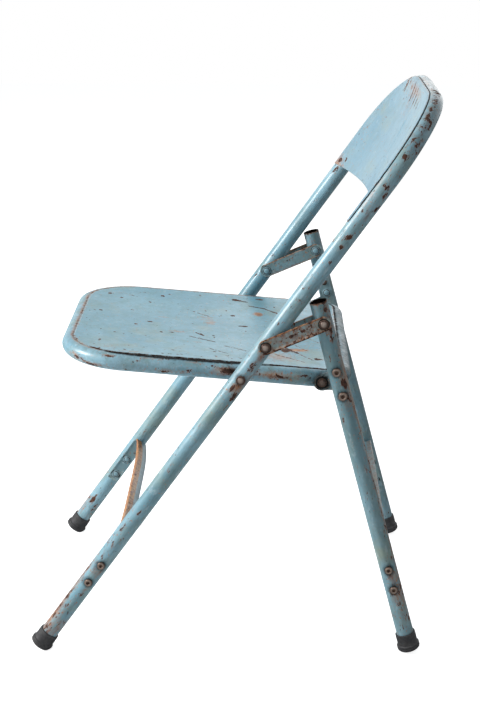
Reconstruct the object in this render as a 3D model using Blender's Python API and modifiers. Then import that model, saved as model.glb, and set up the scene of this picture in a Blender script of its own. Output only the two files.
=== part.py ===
"""Folding steel chair: bent tube frame, pressed seat and back, rear legs on side links.

Metres, +Z up. The chair faces -Y and X is its width. It stands open, as it is used.
"""
import math

import bmesh
import bpy
from mathutils import Matrix, Vector

for old in list(bpy.data.objects):
    bpy.data.objects.remove(old, do_unlink=True)

# Tube and sheet
TUBE_R = 0.0125
WALL = 0.0012
SHEET = 0.0010
PLATE = 0.0025
GAP = 0.0003
HOLE_R = 0.0033
SHANK_R = 0.0030

# Side view: both leg lines start at their foot point and are measured along the tube
LIFT = 0.0065
FRONT_FOOT_Y = -0.28161
REAR_FOOT_Y = 0.25983
FRONT_ANGLE = math.radians(54.5)
REAR_ANGLE = math.radians(75.0)
LEG_X = 0.2165
TUBE_START = 0.0075

# Front frame
STRAIGHT_END = 0.848
ARCH_TOP = 0.963
ARCH_SPAN = 0.143
ARCH_BOW = 0.006
SEAT_PIVOT_T = 0.5072
LINK_PIVOT_T = 0.5664
FRONT_BOLTS = (0.127, 0.160)

# Rear legs
REAR_TOP = 0.5425
LINK_REAR_T = 0.5128
REAR_BOLTS = (0.099, 0.131)
BRACKET_BOLTS = (0.404, 0.440)
BRACKET_SCREW_UP = 0.018
EAR_T = 0.4220
EAR_OUT = 0.0243
EAR_STEP = 0.0027

# Seat, measured from its front pivot in the plane of the rim
SEAT_TILT = math.radians(4.54)
RIM_DROP = 0.0014
RIM_ROOM = 0.0070
RIM_X = LEG_X - 2.0 * TUBE_R - RIM_ROOM
RIM_FRONT = 0.251
RIM_REAR = 0.145
RIM_FRONT_R = 0.0825
RIM_REAR_R = 0.030
SEAT_DISH = 0.008
SEAT_EDGE_IN = 0.0037

# Back panel
PANEL_TAIL_T = 0.773
PANEL_MID_T = 0.7935
PANEL_SPINE_TOP = 0.905
PANEL_WRAP = math.radians(22.0)
PANEL_LEAVE = math.radians(-17.0)
PANEL_SAG_LOW = 0.030
PANEL_SAG_TOP = 0.010

# Fixings
HEAD_R = 0.0066
HEAD_H = 0.0032
INNER_HEAD_H = 0.0022
BUSH_R = 0.0080
EAR_R = 0.0120
LINK_R = 0.0105
SCREW_HEAD_R = 0.0048
SCREW_LENGTH = 0.009

# Stretchers
BAR_W = 0.018
BAR_LIP = 0.006
BAR_BEND = 0.008
FRONT_BAR_T = 0.202
REAR_BAR_T = 0.172
BAR_BOW = 0.0103

# Rubber tips
TIP_SLEEVE_R = 0.0146
TIP_RING_R = 0.0166
TIP_LENGTH = 0.024
FRONT_SOLE = 0.0062
REAR_SOLE = 0.0074

SEGMENTS = 20

chair = bpy.data.collections.new("folding_chair")
bpy.context.scene.collection.children.link(chair)
cutters = bpy.data.collections.new("cutters")
bpy.context.scene.collection.children.link(cutters)


def material(name, colour, metallic, roughness):
    mat = bpy.data.materials.new(name)
    mat.use_nodes = True
    shader = mat.node_tree.nodes["Principled BSDF"]
    shader.inputs["Base Color"].default_value = (*colour, 1.0)
    shader.inputs["Metallic"].default_value = metallic
    shader.inputs["Roughness"].default_value = roughness
    return mat


PAINT = (0.33, 0.56, 0.66)
DULL_PAINT = (0.30, 0.42, 0.44)
RUST = (0.16, 0.08, 0.05)
RUBBER = (0.02, 0.02, 0.02)


def front_point(along, behind=0.0):
    """Side-view point on the front tube's axis, and a distance square to it to the rear."""
    c, s = math.cos(FRONT_ANGLE), math.sin(FRONT_ANGLE)
    return Vector((0.0, FRONT_FOOT_Y + along * c + behind * s, LIFT + along * s - behind * c))


def rear_point(along, ahead=0.0):
    """Side-view point on a rear leg's axis, and a distance square to it to the front."""
    c, s = math.cos(REAR_ANGLE), math.sin(REAR_ANGLE)
    return Vector((0.0, REAR_FOOT_Y - along * c - ahead * s, LIFT + along * s - ahead * c))


FRONT_UP = Vector((0.0, math.cos(FRONT_ANGLE), math.sin(FRONT_ANGLE)))
FRONT_BACK = Vector((0.0, math.sin(FRONT_ANGLE), -math.cos(FRONT_ANGLE)))
REAR_UP = Vector((0.0, -math.cos(REAR_ANGLE), math.sin(REAR_ANGLE)))
REAR_AHEAD = Vector((0.0, -math.sin(REAR_ANGLE), -math.cos(REAR_ANGLE)))
X_AXIS = Vector((1.0, 0.0, 0.0))

PIVOT_SEAT = front_point(SEAT_PIVOT_T)
PIVOT_LINK = front_point(LINK_PIVOT_T)
PIVOT_REAR = rear_point(LINK_REAR_T)
PIVOT_EAR = rear_point(EAR_T, EAR_OUT)
BRACKET_SCREW_T = BRACKET_BOLTS[1] + BRACKET_SCREW_UP

SEAT_BACKWARD = Vector((0.0, math.cos(SEAT_TILT), -math.sin(SEAT_TILT)))
SEAT_UP = Vector((0.0, math.sin(SEAT_TILT), math.cos(SEAT_TILT)))


def seat_point(x, forward, up=0.0):
    """Point in the seat: x across, forward from the front pivot, up from the rim's axis plane."""
    base = PIVOT_SEAT - SEAT_UP * RIM_DROP
    return base - SEAT_BACKWARD * forward + SEAT_UP * up + X_AXIS * x


def add_object(name, bm, mat, origin=None):
    """Put a bmesh into the chair as an object, with its origin where it turns."""
    bmesh.ops.remove_doubles(bm, verts=bm.verts, dist=0.000001)
    bmesh.ops.recalc_face_normals(bm, faces=bm.faces)
    at = origin if origin is not None else Vector((0.0, 0.0, 0.0))
    bmesh.ops.translate(bm, verts=bm.verts, vec=-at)
    mesh = bpy.data.meshes.new(name)
    bm.to_mesh(mesh)
    bm.free()
    ob = bpy.data.objects.new(name, mesh)
    ob.location = at
    mesh.materials.append(material(name + "_finish", *mat))
    chair.objects.link(ob)
    return ob


def add_cutter(name, bm):
    bmesh.ops.recalc_face_normals(bm, faces=bm.faces)
    mesh = bpy.data.meshes.new(name)
    bm.to_mesh(mesh)
    bm.free()
    ob = bpy.data.objects.new(name, mesh)
    ob.hide_render = True
    ob.display_type = 'WIRE'
    cutters.objects.link(ob)
    return ob


def use_boolean(ob, cutter, operation='DIFFERENCE'):
    step = ob.modifiers.new(cutter.name, 'BOOLEAN')
    step.operation = operation
    step.solver = 'EXACT'
    step.object = cutter


def cylinder(bm, centre, axis, radius, length, segments=16, turn=0.0):
    """Cylinder into bm, its middle at centre, its length along axis."""
    rot = Vector((0.0, 0.0, 1.0)).rotation_difference(axis).to_matrix().to_4x4()
    spin = Matrix.Rotation(turn, 4, 'Z')
    bmesh.ops.create_cone(bm, cap_ends=True, segments=segments, radius1=radius, radius2=radius,
                          depth=length, matrix=Matrix.Translation(centre) @ rot @ spin)


def drill(ob, name, points, x, length=0.060):
    """Holes along X through one side of a tube, at side-view points."""
    bm = bmesh.new()
    for point in points:
        cylinder(bm, point + X_AXIS * x, X_AXIS, HOLE_R, length, segments=14, turn=0.13)
    use_boolean(ob, add_cutter(name, bm))


def revolve(bm, profile, centre, axis, segments=SEGMENTS):
    """Turn a list of (radius, height) points about an axis; radius 0 closes the end."""
    side = axis.orthogonal().normalized()
    other = axis.cross(side)
    rings = []
    for radius, height in profile:
        if radius == 0.0:
            rings.append([bm.verts.new(centre + axis * height)])
            continue
        ring = []
        for i in range(segments):
            a = 2.0 * math.pi * i / segments
            ring.append(bm.verts.new(centre + axis * height
                                     + (side * math.cos(a) + other * math.sin(a)) * radius))
        rings.append(ring)
    for low, high in zip(rings, rings[1:]):
        for i in range(segments):
            j = (i + 1) % segments
            if len(low) == 1:
                bm.faces.new((low[0], high[j], high[i]))
            elif len(high) == 1:
                bm.faces.new((low[i], low[j], high[0]))
            else:
                bm.faces.new((low[i], low[j], high[j], high[i]))
    return rings


def close_rings(bm, first, last):
    """Join the last ring of a revolve to its first, for a body with a bore."""
    n = len(first)
    for i in range(n):
        j = (i + 1) % n
        bm.faces.new((last[i], last[j], first[j], first[i]))


def sweep_tube(bm, path, radius, plane_normal, segments=SEGMENTS, closed=False):
    """Round tube skin along a path; rings stay square to the path."""
    rings = []
    count = len(path)
    for i, point in enumerate(path):
        before = path[i - 1] if (closed or i > 0) else path[0]
        after = path[(i + 1) % count] if (closed or i < count - 1) else path[-1]
        tangent = (after - before).normalized()
        side = tangent.cross(plane_normal).normalized()
        up = side.cross(tangent).normalized()
        ring = []
        for k in range(segments):
            a = 2.0 * math.pi * (k + 0.5) / segments
            ring.append(bm.verts.new(point + (side * math.cos(a) + up * math.sin(a)) * radius))
        rings.append(ring)
    pairs = list(zip(rings, rings[1:]))
    if closed:
        pairs.append((rings[-1], rings[0]))
    for low, high in pairs:
        for k in range(segments):
            m = (k + 1) % segments
            bm.faces.new((low[k], low[m], high[m], high[k]))
    return rings


def shell(ob, thickness, offset=-1.0):
    step = ob.modifiers.new("wall", 'SOLIDIFY')
    step.thickness = thickness
    step.offset = offset
    step.use_even_offset = True
    step.use_rim = True


def extrude_outline(bm, outline, depth):
    """Flat plate: an outline of points, raised by the vector depth."""
    low = [bm.verts.new(p) for p in outline]
    high = [bm.verts.new(p + depth) for p in outline]
    bm.faces.new(low)
    bm.faces.new(list(reversed(high)))
    for i in range(len(low)):
        j = (i + 1) % len(low)
        bm.faces.new((low[i], low[j], high[j], high[i]))


def arc(centre, along, across, radius, start, end, steps):
    """Points on an arc, angles measured from along towards across."""
    points = []
    for i in range(steps + 1):
        a = start + (end - start) * i / steps
        points.append(centre + (along * math.cos(a) + across * math.sin(a)) * radius)
    return points


# Frame tube: one length bent over the top of the back, its two ends the front legs
def arch_half():
    """(x, along) from the straight's end to the middle of the arch."""
    points = []
    steps = 14
    for i in range(1, steps + 1):
        q = 0.5 * math.pi * i / steps
        points.append((LEG_X - ARCH_SPAN * (1.0 - math.cos(q)),
                       STRAIGHT_END + (ARCH_TOP - STRAIGHT_END) * math.sin(q)))
    for x in (0.050, 0.025):
        points.append((x, ARCH_TOP))
    return points


def frame_path():
    half = [(LEG_X, TUBE_START), (LEG_X, 0.30), (LEG_X, 0.60), (LEG_X, STRAIGHT_END)] + arch_half()
    flat = half + [(0.0, ARCH_TOP)] + [(-x, t) for x, t in reversed(half)]
    return [front_point(t, ARCH_BOW * (1.0 - (x / LEG_X) ** 2)) + X_AXIS * x for x, t in flat]


bm = bmesh.new()
sweep_tube(bm, frame_path(), TUBE_R, FRONT_BACK)
frame_tube = add_object("frame_tube", bm, (PAINT, 0.0, 0.45))
shell(frame_tube, WALL)
for side in (1, -1):
    points = [front_point(t) for t in FRONT_BOLTS + (SEAT_PIVOT_T, LINK_PIVOT_T)]
    drill(frame_tube, "frame_holes_%s" % ("left" if side > 0 else "right"), points, side * LEG_X)


# Back panel: pressed sheet, its edge curled over the front of the tube all round the arch
def panel_rim():
    """(x, along, outward x, outward along) on the tube's axis, from the near tail to the middle."""
    straight = STRAIGHT_END - PANEL_TAIL_T
    flat = [(LEG_X, PANEL_TAIL_T + straight * i / 3) for i in range(4)]
    flat += arch_half() + [(0.0, ARCH_TOP)]
    rim = []
    for i, (x, t) in enumerate(flat):
        x0, t0 = flat[max(i - 1, 0)]
        x1, t1 = flat[min(i + 1, len(flat) - 1)]
        length = math.hypot(x1 - x0, t1 - t0)
        rim.append((x, t, (t1 - t0) / length, -(x1 - x0) / length))
    rim[-1] = (0.0, ARCH_TOP, 0.0, 1.0)
    return rim


def panel_grid():
    """Columns of points from the curled edge in to the middle line, tail first."""
    rim = panel_rim()
    radius = TUBE_R + GAP
    wraps = [PANEL_WRAP + (PANEL_LEAVE - PANEL_WRAP) * i / 4 for i in range(5)]
    columns = []
    for i, (x, t, ox, ot) in enumerate(rim):
        share = i / (len(rim) - 1)
        column = []
        for a in wraps:
            out = radius * math.sin(a)
            lift = -radius * math.cos(a)
            bow = ARCH_BOW * (1.0 - (x / LEG_X) ** 2)
            column.append((x + ox * out, t + ot * out, bow + lift))
        ex, et, eh = column[-1]
        spine_t = PANEL_MID_T + (PANEL_SPINE_TOP - PANEL_MID_T) * share
        sag = PANEL_SAG_LOW + (PANEL_SAG_TOP - PANEL_SAG_LOW) * share
        low = -(TUBE_R + GAP) * math.cos(PANEL_LEAVE)
        steps = 7
        for k in range(1, steps + 1):
            v = k / steps
            fall = 1.0 - (1.0 - v) ** 2
            droop = (1.0 - v) ** 2 if i == 0 else (1.0 - v)
            px = ex * (1.0 - v)
            pt = spine_t + (et - spine_t) * (droop if i == 0 else (1.0 - v))
            ph = eh + (low + sag + ARCH_BOW - eh) * fall
            column.append((px, pt, ph))
        columns.append(column)
    return columns


bm = bmesh.new()
for side in (1, -1):
    grid = [[bm.verts.new(front_point(t, h) + X_AXIS * (side * x)) for x, t, h in column]
            for column in panel_grid()]
    for low, high in zip(grid, grid[1:]):
        for k in range(len(low) - 1):
            bm.faces.new((low[k], low[k + 1], high[k + 1], high[k]))
bmesh.ops.remove_doubles(bm, verts=bm.verts, dist=0.00002)
back_panel = add_object("back_panel", bm, (PAINT, 0.0, 0.45))
for face in back_panel.data.polygons:
    face.use_smooth = True
shell(back_panel, SHEET, 1.0)


# Rear legs: straight tubes, open at the top
for side in (1, -1):
    name = "rear_leg_%s" % ("left" if side > 0 else "right")
    bm = bmesh.new()
    length = REAR_TOP - TUBE_START
    path = [rear_point(TUBE_START + length * i / 3) + X_AXIS * (side * LEG_X) for i in range(4)]
    sweep_tube(bm, path, TUBE_R, REAR_AHEAD)
    rear_leg = add_object(name, bm, (DULL_PAINT, 0.0, 0.5), PIVOT_REAR)
    shell(rear_leg, WALL)
    points = [rear_point(t) for t in REAR_BOLTS + BRACKET_BOLTS + (LINK_REAR_T,)]
    drill(rear_leg, name + "_holes", points, side * LEG_X)
    drill(rear_leg, name + "_screw_hole", [rear_point(BRACKET_SCREW_T)], side * (LEG_X - TUBE_R), TUBE_R)


# Seat rim: a closed loop of tube, larger bends at the front
def rim_outline(inset, front_r, rear_r, steps):
    """Closed (x, forward) outline of the rim's axis, moved in by inset."""
    x = RIM_X - inset
    front = RIM_FRONT - inset
    rear = RIM_REAR - inset
    corners = ((x - rear_r, -rear + rear_r, rear_r, -90, 0), (x - front_r, front - front_r, front_r, 0, 90),
               (-x + front_r, front - front_r, front_r, 90, 180), (-x + rear_r, -rear + rear_r, rear_r, 180, 270))
    points = []
    for cx, cy, r, a0, a1 in corners:
        for i in range(steps + 1):
            a = math.radians(a0 + (a1 - a0) * i / steps)
            points.append((cx + r * math.cos(a), cy + r * math.sin(a)))
    return points


bm = bmesh.new()
loop = [seat_point(x, f) for x, f in rim_outline(0.0, RIM_FRONT_R, RIM_REAR_R, 8)]
sweep_tube(bm, loop, TUBE_R, SEAT_UP, closed=True)
seat_rim = add_object("seat_rim", bm, (PAINT, 0.0, 0.45), PIVOT_SEAT)
bm = bmesh.new()
sweep_tube(bm, loop, TUBE_R - WALL, SEAT_UP, segments=14, closed=True)
use_boolean(seat_rim, add_cutter("seat_rim_bore", bm))
for side in (1, -1):
    name = "seat_rim_hole_%s" % ("left" if side > 0 else "right")
    drill(seat_rim, name, [PIVOT_SEAT], side * RIM_X, 0.030)


# Seat panel: sheet laid in the rim, a little dished
def seat_grid(steps):
    """Rings of points from the panel's edge to its middle."""
    height = math.sqrt((TUBE_R + GAP) ** 2 - SEAT_EDGE_IN ** 2)
    edge = rim_outline(SEAT_EDGE_IN, RIM_FRONT_R - SEAT_EDGE_IN, RIM_REAR_R - SEAT_EDGE_IN, 8)
    middle_x, middle_f = 0.0, 0.5 * (RIM_FRONT - RIM_REAR)
    rings = []
    for k in range(steps):
        v = k / steps
        drop = SEAT_DISH * (1.0 - (1.0 - v) ** 2)
        rings.append([seat_point(middle_x + (x - middle_x) * (1.0 - v),
                                 middle_f + (f - middle_f) * (1.0 - v), height - drop) for x, f in edge])
    return rings, seat_point(middle_x, middle_f, height - SEAT_DISH)


bm = bmesh.new()
ring_points, middle = seat_grid(8)
rings = [[bm.verts.new(p) for p in ring] for ring in ring_points]
for low, high in zip(rings, rings[1:]):
    for i in range(len(low)):
        j = (i + 1) % len(low)
        bm.faces.new((low[i], low[j], high[j], high[i]))
hub = bm.verts.new(middle)
for i in range(len(rings[-1])):
    bm.faces.new((rings[-1][i], rings[-1][(i + 1) % len(rings[-1])], hub))
seat_panel = add_object("seat_panel", bm, (PAINT, 0.0, 0.45), PIVOT_SEAT)
for face in seat_panel.data.polygons:
    face.use_smooth = True
shell(seat_panel, SHEET, 1.0)


# Bushes that hold the seat off the frame tube and off the ear
FRAME_INNER_X = LEG_X - TUBE_R
RIM_OUTER_X = RIM_X + TUBE_R
EAR_X0 = FRAME_INNER_X - GAP - PLATE
EAR_IN_X = EAR_X0 - EAR_STEP
for side in (1, -1):
    tag = "left" if side > 0 else "right"
    for name, pivot, end in (("seat_bush_front_", PIVOT_SEAT, FRAME_INNER_X - GAP),
                             ("seat_bush_rear_", PIVOT_EAR, EAR_IN_X - GAP)):
        start = RIM_OUTER_X + GAP
        bm = bmesh.new()
        rows = revolve(bm, [(HOLE_R, 0.0), (BUSH_R, 0.0), (BUSH_R, end - start), (HOLE_R, end - start)],
                       pivot + X_AXIS * (side * start), X_AXIS * side)
        close_rings(bm, rows[0], rows[-1])
        add_object(name + tag, bm, (RUST, 0.6, 0.6), PIVOT_SEAT)


# Rivets: a shank with a domed head at the outer end and a flatter one at the inner end
def dome(radius, height, base, steps=3):
    """Profile of a head: base height at the rim, crown at the middle."""
    points = [(radius, base), (radius, base + height * 0.30)]
    for i in range(1, steps):
        a = 0.5 * math.pi * i / steps
        points.append((radius * math.cos(a), base + height * (0.30 + 0.70 * math.sin(a))))
    points.append((0.0, base + height))
    return points


def rivet(name, pivot, side, inner_x, outer_x, mat, origin, inner_head=True, radius=HEAD_R,
          height=HEAD_H):
    """Rivet across X: heads outside outer_x and inside inner_x, both measured from the middle."""
    profile = [(0.0, inner_x)]
    if inner_head:
        profile = [(r, inner_x - (h - inner_x)) for r, h in reversed(dome(radius, INNER_HEAD_H, inner_x))]
    profile += [(SHANK_R, inner_x), (SHANK_R, outer_x)]
    profile += dome(radius, height, outer_x)
    bm = bmesh.new()
    revolve(bm, profile, pivot, X_AXIS * side, 14)
    return add_object(name, bm, mat, origin)


LINK_OUT_X = LEG_X + TUBE_R + GAP + PLATE + GAP
LINK_IN_X = FRAME_INNER_X - GAP - PLATE - GAP
TUBE_OUT_X = LEG_X + TUBE_R + GAP
STEEL = (RUST, 0.7, 0.5)
for side in (1, -1):
    tag = "left" if side > 0 else "right"
    rivet("seat_rivet_" + tag, PIVOT_SEAT, side, RIM_X - TUBE_R - GAP, TUBE_OUT_X, STEEL, PIVOT_SEAT)
    rivet("link_rivet_front_" + tag, PIVOT_LINK, side, LINK_IN_X, LINK_OUT_X, STEEL, PIVOT_LINK)
    rivet("link_rivet_rear_" + tag, PIVOT_REAR, side, LINK_IN_X, LINK_OUT_X, STEEL, PIVOT_REAR)
    # The ear turns inside the front tube: its plate is set in and its head is a low one
    rivet("ear_rivet_" + tag, PIVOT_EAR, side, EAR_IN_X, EAR_IN_X + PLATE + GAP, STEEL, PIVOT_REAR, False,
          height=INNER_HEAD_H)


# Link plates: one on each side of the tubes, the lower edge rolled outwards
LINK_ALONG = (PIVOT_REAR - PIVOT_LINK).normalized()
LINK_ACROSS = X_AXIS.cross(LINK_ALONG)
for side in (1, -1):
    tag = "left" if side > 0 else "right"
    for place, start, out in (("outer", LEG_X + TUBE_R + GAP, 1), ("inner", FRAME_INNER_X - GAP, -1)):
        bm = bmesh.new()
        outline = arc(PIVOT_LINK, -LINK_ALONG, -LINK_ACROSS, LINK_R, -0.5 * math.pi, 0.5 * math.pi, 12)
        outline += arc(PIVOT_REAR, LINK_ALONG, LINK_ACROSS, LINK_R, -0.5 * math.pi, 0.5 * math.pi, 12)
        outline = [p + X_AXIS * (side * start) for p in outline]
        extrude_outline(bm, outline, X_AXIS * (side * out * PLATE))
        plate = add_object("link_%s_%s" % (place, tag), bm, (DULL_PAINT, 0.3, 0.6), PIVOT_LINK)
        holes = bmesh.new()
        for pivot in (PIVOT_LINK, PIVOT_REAR):
            cylinder(holes, pivot + X_AXIS * (side * start), X_AXIS, HOLE_R, 0.020, segments=14)
        use_boolean(plate, add_cutter("link_holes_%s_%s" % (place, tag), holes))
        if place == "outer":
            lip = bmesh.new()
            span = (PIVOT_REAR - PIVOT_LINK).length
            centre = 0.5 * (PIVOT_LINK + PIVOT_REAR) - LINK_ACROSS * (LINK_R - 0.0006)
            cylinder(lip, centre + X_AXIS * (side * (start + 0.0023)), LINK_ALONG, 0.0020, span - 0.020, 10)
            use_boolean(plate, add_cutter("link_lip_" + tag, lip), 'UNION')


# Brackets: a plate inside each rear leg, with an ear for the seat's rear pivot. The ear is set
# in by EAR_STEP, so that its rivet head passes inside the front tube as the chair folds.
STRIP_BACK = -0.009
STRIP_AHEAD = 0.008
STEP_START = 0.0125
STEP_END = 0.0165


def between(value, points):
    """Straight-line value at a place in a rising list of (place, value) points."""
    for (a, low), (b, high) in zip(points, points[1:]):
        if value <= b:
            return low + (high - low) * (value - a) / (b - a)
    return points[-1][1]


def bracket_sections():
    """(ahead, lower edge, upper edge, step inwards) from the strip's back edge to the ear's tip."""
    low, high = BRACKET_BOLTS[0] - 0.011, BRACKET_SCREW_T + 0.010
    upper = [(STRIP_BACK, high), (STRIP_AHEAD, high)]
    lower = [(STRIP_BACK, low), (STRIP_AHEAD, low)]
    upper += [(EAR_OUT + EAR_R * math.cos(a), EAR_T + EAR_R * math.sin(a))
              for a in (math.radians(d) for d in (65, 50, 36, 22, 8))]
    lower += [(EAR_OUT + EAR_R * math.cos(a), EAR_T - EAR_R * math.sin(a))
              for a in (math.radians(d) for d in (96, 80, 65, 50, 36, 22, 8))]
    places = sorted({round(p, 7) for p, _ in upper + lower} | {STEP_START, STEP_END})
    step = [(STRIP_BACK, 0.0), (STEP_START, 0.0), (STEP_END, EAR_STEP), (EAR_OUT + EAR_R, EAR_STEP)]
    return [(h, between(h, lower), between(h, upper), between(h, step)) for h in places]


for side in (1, -1):
    tag = "left" if side > 0 else "right"
    bm = bmesh.new()
    sections = []
    for h, low, high, step in bracket_sections():
        x0 = EAR_X0 - step
        sections.append([bm.verts.new(rear_point(t, h) + X_AXIS * (side * x))
                         for t, x in ((low, x0), (high, x0), (high, x0 + PLATE), (low, x0 + PLATE))])
    for back, ahead in zip(sections, sections[1:]):
        for k in range(4):
            bm.faces.new((back[k], back[(k + 1) % 4], ahead[(k + 1) % 4], ahead[k]))
    bm.faces.new(sections[0])
    bm.faces.new(sections[-1])
    bracket = add_object("bracket_" + tag, bm, (DULL_PAINT, 0.3, 0.6), PIVOT_REAR)
    holes = bmesh.new()
    for point in [PIVOT_EAR, rear_point(BRACKET_SCREW_T)] + [rear_point(t) for t in BRACKET_BOLTS]:
        cylinder(holes, point + X_AXIS * (side * EAR_X0), X_AXIS, HOLE_R, 0.020, segments=14)
    use_boolean(bracket, add_cutter("bracket_holes_" + tag, holes))
    for number, along in enumerate(BRACKET_BOLTS, 1):
        rivet("bracket_bolt_%d_%s" % (number, tag), rear_point(along), side, EAR_X0 - GAP, TUBE_OUT_X,
              STEEL, PIVOT_REAR)
    # A self-tapping screw from the inside, into the near wall of the leg only
    inner_x = EAR_X0 - GAP
    profile = [(r, 2.0 * inner_x - h) for r, h in reversed(dome(SCREW_HEAD_R, INNER_HEAD_H, inner_x))]
    profile += [(SHANK_R, inner_x), (SHANK_R, inner_x + SCREW_LENGTH - SHANK_R), (0.0, inner_x + SCREW_LENGTH)]
    bm = bmesh.new()
    revolve(bm, profile, rear_point(BRACKET_SCREW_T), X_AXIS * side, 14)
    add_object("bracket_screw_" + tag, bm, STEEL, PIVOT_REAR)


# Stretchers: channel pressed from strip, its ends turned down inside the legs
def stretcher_path(top, bottom, bow):
    """(x, along, behind) from one tab's lower end to the other's."""
    x = FRAME_INNER_X - GAP - 0.5 * 0.002
    half = [(x, bottom), (x, 0.5 * (bottom + top)), (x, top - BAR_BEND)]
    for i in range(1, 6):
        a = 0.5 * math.pi * i / 5
        half.append((x - BAR_BEND * (1.0 - math.cos(a)), top - BAR_BEND * (1.0 - math.sin(a))))
    for share in (0.93, 0.86, 0.7, 0.5, 0.25):
        half.append((x * share, top))
    flat = half + [(0.0, top)] + [(-px, pt) for px, pt in reversed(half)]
    return [(px, pt, bow * (1.0 - abs(px / x) ** 5)) for px, pt in flat]


def stretcher(name, place, across, along_axis, path, bolts, origin):
    """Sweep a shallow channel; its lips grow from the tabs to the cross-bar."""
    bm = bmesh.new()
    sections = []
    for i, (px, pt, ph) in enumerate(path):
        before, after = path[max(i - 1, 0)], path[min(i + 1, len(path) - 1)]
        run = Vector((after[0] - before[0], after[1] - before[1])).normalized()
        normal = X_AXIS * (-run.y) + along_axis * run.x
        inside = -1.0 if normal.dot(along_axis) + normal.x * px > 0 else 1.0
        normal = normal * inside
        across_share = min(1.0, abs(run.x) * 1.2)
        lip = 0.0008 + (BAR_LIP - 0.0008) * across_share * (1.0 - min(1.0, (abs(px) / 0.19)) ** 6)
        base = place(pt, 0.0) + X_AXIS * px + across * ph
        w = 0.5 * BAR_W
        th = 0.001
        shape = ((-w, -th), (w, -th), (w, th + lip), (w - 0.0018, th + lip), (w - 0.0018, th),
                 (-w + 0.0018, th), (-w + 0.0018, th + lip), (-w, th + lip))
        sections.append([bm.verts.new(base + across * a + normal * b) for a, b in shape])
    for low, high in zip(sections, sections[1:]):
        for k in range(8):
            m = (k + 1) % 8
            bm.faces.new((low[k], low[m], high[m], high[k]))
    bm.faces.new(sections[0])
    bm.faces.new(list(reversed(sections[-1])))
    bar = add_object(name, bm, (DULL_PAINT, 0.2, 0.6), origin)
    holes = bmesh.new()
    for side in (1, -1):
        for t in bolts:
            cylinder(holes, place(t, 0.0) + X_AXIS * (side * FRAME_INNER_X), X_AXIS, HOLE_R, 0.016, 14)
    use_boolean(bar, add_cutter(name + "_holes", holes))
    for side in (1, -1):
        tag = "left" if side > 0 else "right"
        for number, t in enumerate(bolts, 1):
            rivet("%s_bolt_%d_%s" % (name, number, tag), place(t, 0.0), side,
                  FRAME_INNER_X - 2 * GAP - 0.002, TUBE_OUT_X, STEEL, origin, radius=0.0058)


stretcher("front_stretcher", lambda t, h: front_point(t, h), FRONT_BACK, FRONT_UP,
          stretcher_path(FRONT_BAR_T, FRONT_BOLTS[0] - 0.012, BAR_BOW), FRONT_BOLTS, None)
stretcher("rear_stretcher", lambda t, h: rear_point(t, h), REAR_AHEAD, REAR_UP,
          stretcher_path(REAR_BAR_T, REAR_BOLTS[0] - 0.012, 0.0), REAR_BOLTS, PIVOT_REAR)


# Rubber tips: a cup on each tube end, with a ring and a domed sole worn flat on the floor
def tip(name, foot, up, side, sole, origin):
    bore = TUBE_R + GAP
    profile = [(0.0, TUBE_START - 0.0005), (bore, TUBE_START - 0.0005), (bore, TIP_LENGTH),
               (TIP_SLEEVE_R - 0.0006, TIP_LENGTH), (TIP_SLEEVE_R, TIP_LENGTH - 0.0006),
               (TIP_SLEEVE_R, 0.0068), (TIP_RING_R, 0.0058), (TIP_RING_R, 0.0012)]
    for i in range(1, 6):
        a = 0.5 * math.pi * i / 5
        profile.append((TIP_RING_R * math.cos(a) if i < 5 else 0.0, 0.0012 - sole * math.sin(a)))
    bm = bmesh.new()
    revolve(bm, profile, foot + X_AXIS * (side * LEG_X), up)
    rubber = add_object(name, bm, (RUBBER, 0.0, 0.8), origin)
    floor = bmesh.new()
    bmesh.ops.create_cube(floor, size=0.08, matrix=Matrix.Translation(
        Vector((side * LEG_X, foot.y, -0.04))))
    use_boolean(rubber, add_cutter(name + "_floor", floor))


for side in (1, -1):
    tag = "left" if side > 0 else "right"
    tip("front_tip_" + tag, front_point(0.0), FRONT_UP, side, FRONT_SOLE, None)
    tip("rear_tip_" + tag, rear_point(0.0), REAR_UP, side, REAR_SOLE, PIVOT_REAR)
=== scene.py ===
"""Folding steel chair in old light blue paint, worn and peeling to rust, standing open.

Metres, +Z up. The chair faces -Y and +X is the sitter's left.
"""
import math

import bmesh
import bpy
import numpy as np
from mathutils import Matrix, Vector


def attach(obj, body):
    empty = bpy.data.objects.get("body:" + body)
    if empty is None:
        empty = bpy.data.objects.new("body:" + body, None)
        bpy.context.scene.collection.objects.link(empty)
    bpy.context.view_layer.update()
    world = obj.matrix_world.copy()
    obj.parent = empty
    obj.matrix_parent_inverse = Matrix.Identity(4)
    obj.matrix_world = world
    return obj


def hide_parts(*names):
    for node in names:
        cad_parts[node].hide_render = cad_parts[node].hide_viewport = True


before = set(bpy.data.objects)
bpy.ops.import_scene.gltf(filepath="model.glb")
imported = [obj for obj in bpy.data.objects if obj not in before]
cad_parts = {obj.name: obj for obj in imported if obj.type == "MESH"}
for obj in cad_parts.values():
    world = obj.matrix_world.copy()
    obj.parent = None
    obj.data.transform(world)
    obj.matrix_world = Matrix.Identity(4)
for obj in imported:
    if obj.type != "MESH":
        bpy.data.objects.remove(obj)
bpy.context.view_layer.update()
bpy.context.scene.view_settings.view_transform = 'Standard'


# ---- Camera, daylight and floor
# The camera stands at the chair's left, 1.1 m up, level with the seat's middle, and looks down
# by 17 degrees. An 80 mm lens gives the photograph's mild perspective.

def srgb(text):
    """Hex colour to linear: each channel below 0.04045 is divided by 12.92, the rest follow
    ((c + 0.055) / 1.055) to the power 2.4."""
    values = [int(text[i:i + 2], 16) / 255.0 for i in (1, 3, 5)]
    return tuple(c / 12.92 if c <= 0.04045 else ((c + 0.055) / 1.055) ** 2.4
                 for c in values) + (1.0,)


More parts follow.
